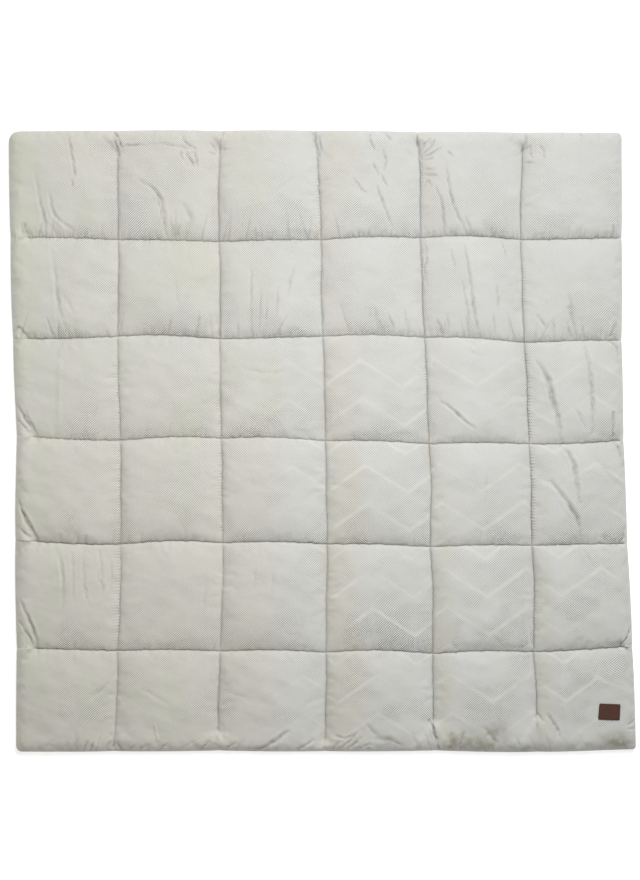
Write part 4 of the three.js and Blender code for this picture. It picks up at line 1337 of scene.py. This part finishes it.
def quilt_cloth():
    """The woven cloth: its weave, its greys, painted shade in its folds and seams and beside its lines and
    edges, a painted highlight under its lines across, and its fine relief.
    """
    cloth = Finish("quilt_cloth")
    flat = cloth.laid("weave")
    place_on = cloth.place()
    x, y = cloth.split(flat)
    x, y = x + y * ZIGZAG_LEAN["across"], y - x * ZIGZAG_LEAN["down"]
    u, v = cloth.split(cloth.laid("squares"))
    in_column = u.math("FRACT")
    in_row = v.math("FRACT")
    off_edge = u.math("PINGPONG", SQUARES / 2).math("MINIMUM", v.math("PINGPONG", SQUARES / 2)) * PITCH
    on_right = u.step(2.6, 3.0)

    # The paler zigzags. They are worn, and faint at the top and on the left.
    uneven = cloth.swing(place_on, 55, 3)
    half = ZIGZAG["period"] / 2
    from_peak = (x - ZIGZAG["peak"]).math("PINGPONG", half)
    height = y + from_peak * (ZIGZAG["fall"] / half) + uneven * ZIGZAG["uneven"] - ZIGZAG["start"]
    shows = (0.15 + v.step(1.7, 2.4) * 0.85) * (0.15 + u.step(2.2, 3.2) * 0.85)
    band = height.math("PINGPONG", ZIGZAG["every"] / 2).fall(*ZIGZAG_FADES)
    band = band * cloth.noise(flat, 9, 2).step(0.34, 0.56) * shows

    # The slanting lines. They show in patches and most low in a square, and hardly at all along the
    # left and foot edges, in the zigzags and at places to the right of the lines down.
    turning = from_peak.math("PINGPONG", half / 2).fall(*ZIGZAG_TURNS)
    wander = uneven * SLANT["uneven"]
    lines = (y - from_peak + wander).wave(SLANT["every"])
    dots = (y + from_peak * 0.8 + wander).wave(SLANT["every"] * SLANT["other"])
    patchy = 0.25 + cloth.noise(place_on, 19, 3).step(0.36, 0.6) * 1.15
    low_down = 0.65 + in_row.step(0.35, 0.9) * 0.35 + in_row.step(0.86, 0.96) * 0.2
    low_down = low_down * (1 + v.step(3.7, 4.3) * u.step(2.7, 3.3) * 0.35)
    plain = u.fall(0.4, 0.46).math("MAXIMUM", v.step(5.62, 5.78)) * 0.8
    ragged = cloth.swing(place_on, 30, 3) * 0.3
    beside = (in_column + ragged).fall(0.12, 0.2) * v.step(2.5, 4.3) * on_right
    shown = (1 - band.math("MAXIMUM", turning * 0.6)) * (1 - plain) * (1 - beside * 0.6)
    seen = patchy * low_down * shown * off_edge.step(3 * MM, 10 * MM)
    lines = (lines * 0.65 + dots * 0.45) * seen
    yarn = cloth.swing(flat, 900, 1)

    # The greys: warm, olive, pale in the zigzags and brown where the cloth is stained.
    blotch = cloth.noise(place_on, (26, 7, 1), 3)
    warm = (cloth.noted("warmth") + (blotch - 0.5) * 0.5).clamped()
    grey = cloth.tone(warm, COOL_GREY, WARM_GREY)
    olive = cloth.noise(place_on, (11, 6, 1), 3).step(0.5, 0.66) * u.fall(1.6, 3.6) * 0.6
    olive = olive.math("MAXIMUM", u.fall(0.05, 0.6) * blotch.step(0.35, 0.6))
    grey = cloth.tone(olive.math("MAXIMUM", beside * (0.1 + blotch * 0.4)), grey, OLIVE_GREY)
    grey = cloth.tone(band * 0.62, grey, PALE)
    stained = cloth.noted("stained") * (0.5 + cloth.noise(place_on, 60, 3).step(0.35, 0.65) * 0.6)
    grey = cloth.tone(stained, grey, STAINED)

    # Painted shade down in the folds and the stitching, and in the cloth that is pinched over the lines
    # across.
    stretched = cloth.swing(place_on, (200, 34, 1), 1).math("ABSOLUTE")
    pinched = stretched.fall(0.0, 0.07) * ((1 - in_row) * PITCH).fall(2 * MM, 17 * MM)
    pinched = pinched * cloth.noise(place_on, 13, 1).step(0.34, 0.52) * (0.25 + v.fall(1.97, 2.03) * 0.75)
    pinched = pinched * (0.3 + u.step(1.9, 2.6) * 0.7) * v.fall(4.97, 5.03)
    broken = 0.25 + cloth.noise(place_on, 130, 2).step(0.3, 0.6) * 0.35
    grey = cloth.tone(cloth.noted("fold").math("MAXIMUM", pinched * 0.7) * broken, grey, PAINTED_SHADE_GREY)

    # Painted shade to the right of the lines down and along the edges, and a painted highlight just under a
    # line across.
    dull = in_column.fall(0.02, 0.26) * v.step(2.5, 4.6) * (0.35 + on_right * 0.25) + beside * 0.2
    dull = dull * (0.6 + blotch * 0.8) + off_edge.fall(2 * MM, 14 * MM) * 0.5
    below = in_row * PITCH
    # A painted highlight on the lit flank just under a line across.
    lip = below.step(0.6 * MM, 1.2 * MM) * below.fall(2 * MM, 5 * MM) * v.step(0.5, 0.6)
    # Besides their relief, the ribs lighten and darken the colour: painted shade in their lows, lighter on
    # their crests.
    rib = y.wave(RIBS["pitch"], cloth.swing(place_on, 60, 2) * 7) * cloth.noted("ribbed")
    grain = cloth.swing(place_on, 340, 1)
    cloud = cloth.swing(place_on, 14, 4)
    shade = 1 + summed(
        SHADES, rib=rib, dull=dull, lines=lines, seen=seen, lip=lip, grain=grain, cloud=cloud, yarn=yarn,
    )

    # The relief, with short tucks along the two upper lines across.
    beside_line = v.math("PINGPONG", 0.5) * PITCH
    tuck = x.wave(TUCKS, cloth.swing(place_on, 45, 2) * 9) * beside_line.fall(2 * MM, 13 * MM)
    tuck = tuck * cloth.noise(place_on, 11, 1).step(0.35, 0.6) * v.step(0.2, 0.6) * v.fall(1.97, 2.05)
    relief = summed(
        RELIEF, lines=lines, rib=rib, tuck=tuck, yarn=yarn, uneven=uneven, band=band, pinched=pinched,
    )
    bump = cloth.bump(relief * off_edge.step(1 * MM, 8 * MM))
    return cloth.finish({"Base Color": cloth.shaded(grey, shade), "Normal": bump, **CLOTH_SHINE})


def patch_leather():
    leather = Finish("patch_leather")
    place_on = leather.place()
    pores = {"Vector": place_on, "Scale": 1400}
    grain = leather.node("ShaderNodeTexVoronoi", dict(feature="DISTANCE_TO_EDGE"), pores).fall(0.02, 0.16)
    cloud = leather.noise(place_on, 90, 3)
    dark = (leather.noted("edge") * 0.8 + (cloud - 0.5) * 0.7).clamped()
    colour = leather.tone(dark, LEATHER, LEATHER_DARK)
    bump = leather.bump(grain * (-0.06 * MM) + cloud * (0.15 * MM))
    return leather.finish({"Base Color": colour, "Roughness": 0.48 + cloud * 0.2, "Normal": bump})


def sewing_thread(name, colour):
    thread = Finish(name)
    twist = 0.85 + thread.noise(thread.place(), 2500, 1) * 0.3
    return thread.finish({"Base Color": thread.shaded(colour[:3], twist), "Roughness": 0.7})


# Light
KEY = dict(at=(0.9, 2.45, 3.1), size=1.65, power=84.6, colour=(0.985, 1.0, 0.99))
ABOVE = dict(at=(0.0, 0.2, 1.2), aim=(0.0, 0.2, 0), size=0.5, power=5.6, colour=(1.0, 1.0, 1.0))
WORLD = dict(colour=(1.0, 0.975, 0.94), strength=0.292)
FLOOR = dict(colour=(0.93, 0.93, 0.93), glow=0.55)


def set_lamp(name, at, size, power, colour, aim=(0, 0, 0)):
    lamp = bpy.data.lights.new(name, "AREA")
    lamp.shape = "DISK"
    lamp.size = size
    lamp.energy = power
    lamp.color = colour
    piece = put(name, lamp)
    piece.location = at
    piece.rotation_euler = (Vector(aim) - Vector(at)).to_track_quat("-Z", "Y").to_euler()


def set_light():
    set_lamp("key", **KEY)
    set_lamp("above", **ABOVE)
    world = bpy.data.worlds.new("room")
    world.use_nodes = True
    background = world.node_tree.nodes["Background"]
    background.inputs["Color"].default_value = (*WORLD["colour"], 1)
    background.inputs["Strength"].default_value = WORLD["strength"]
    bpy.context.scene.world = world
    bpy.context.scene.view_settings.view_transform = "Standard"


def set_floor():
    floor = bmesh.new()
    bmesh.ops.create_grid(floor, x_segments=1, y_segments=1, size=6)
    piece = put("floor", mesh_of("floor", floor))
    piece.location.z = -0.5 * MM
    material = bpy.data.materials.new("floor")
    material.use_nodes = True
    shader = material.node_tree.nodes["Principled BSDF"]
    shader.inputs["Base Color"].default_value = (*FLOOR["colour"], 1)
    shader.inputs["Roughness"].default_value = 0.9
    shader.inputs["Emission Color"].default_value = (1, 1, 1, 1)
    shader.inputs["Emission Strength"].default_value = FLOOR["glow"]
    piece.data.materials.append(material)


set_camera()
set_light()
set_floor()
quilt = lay_upper_cloth()
turn_edge(quilt, lay_lower_cloth())
lay_weave(quilt.data)
tint(quilt.data)
ribbed(quilt.data)
stain(quilt.data)
quilt.data.materials.append(quilt_cloth())
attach(quilt, "root")
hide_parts("comforter")
thread = sew_lines(quilt)
thread.data.materials.append(sewing_thread("quilting_thread", THREAD))
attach(thread, "root")
bed = patch_bed(quilt)
patch = cut_patch(bed)
patch.data.materials.append(patch_leather())
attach(patch, "root")
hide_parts("leather_patch")
patch_thread = sew_patch(bed)
patch_thread.data.materials.append(sewing_thread("patch_thread", LEATHER_DARK))
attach(patch_thread, "root")
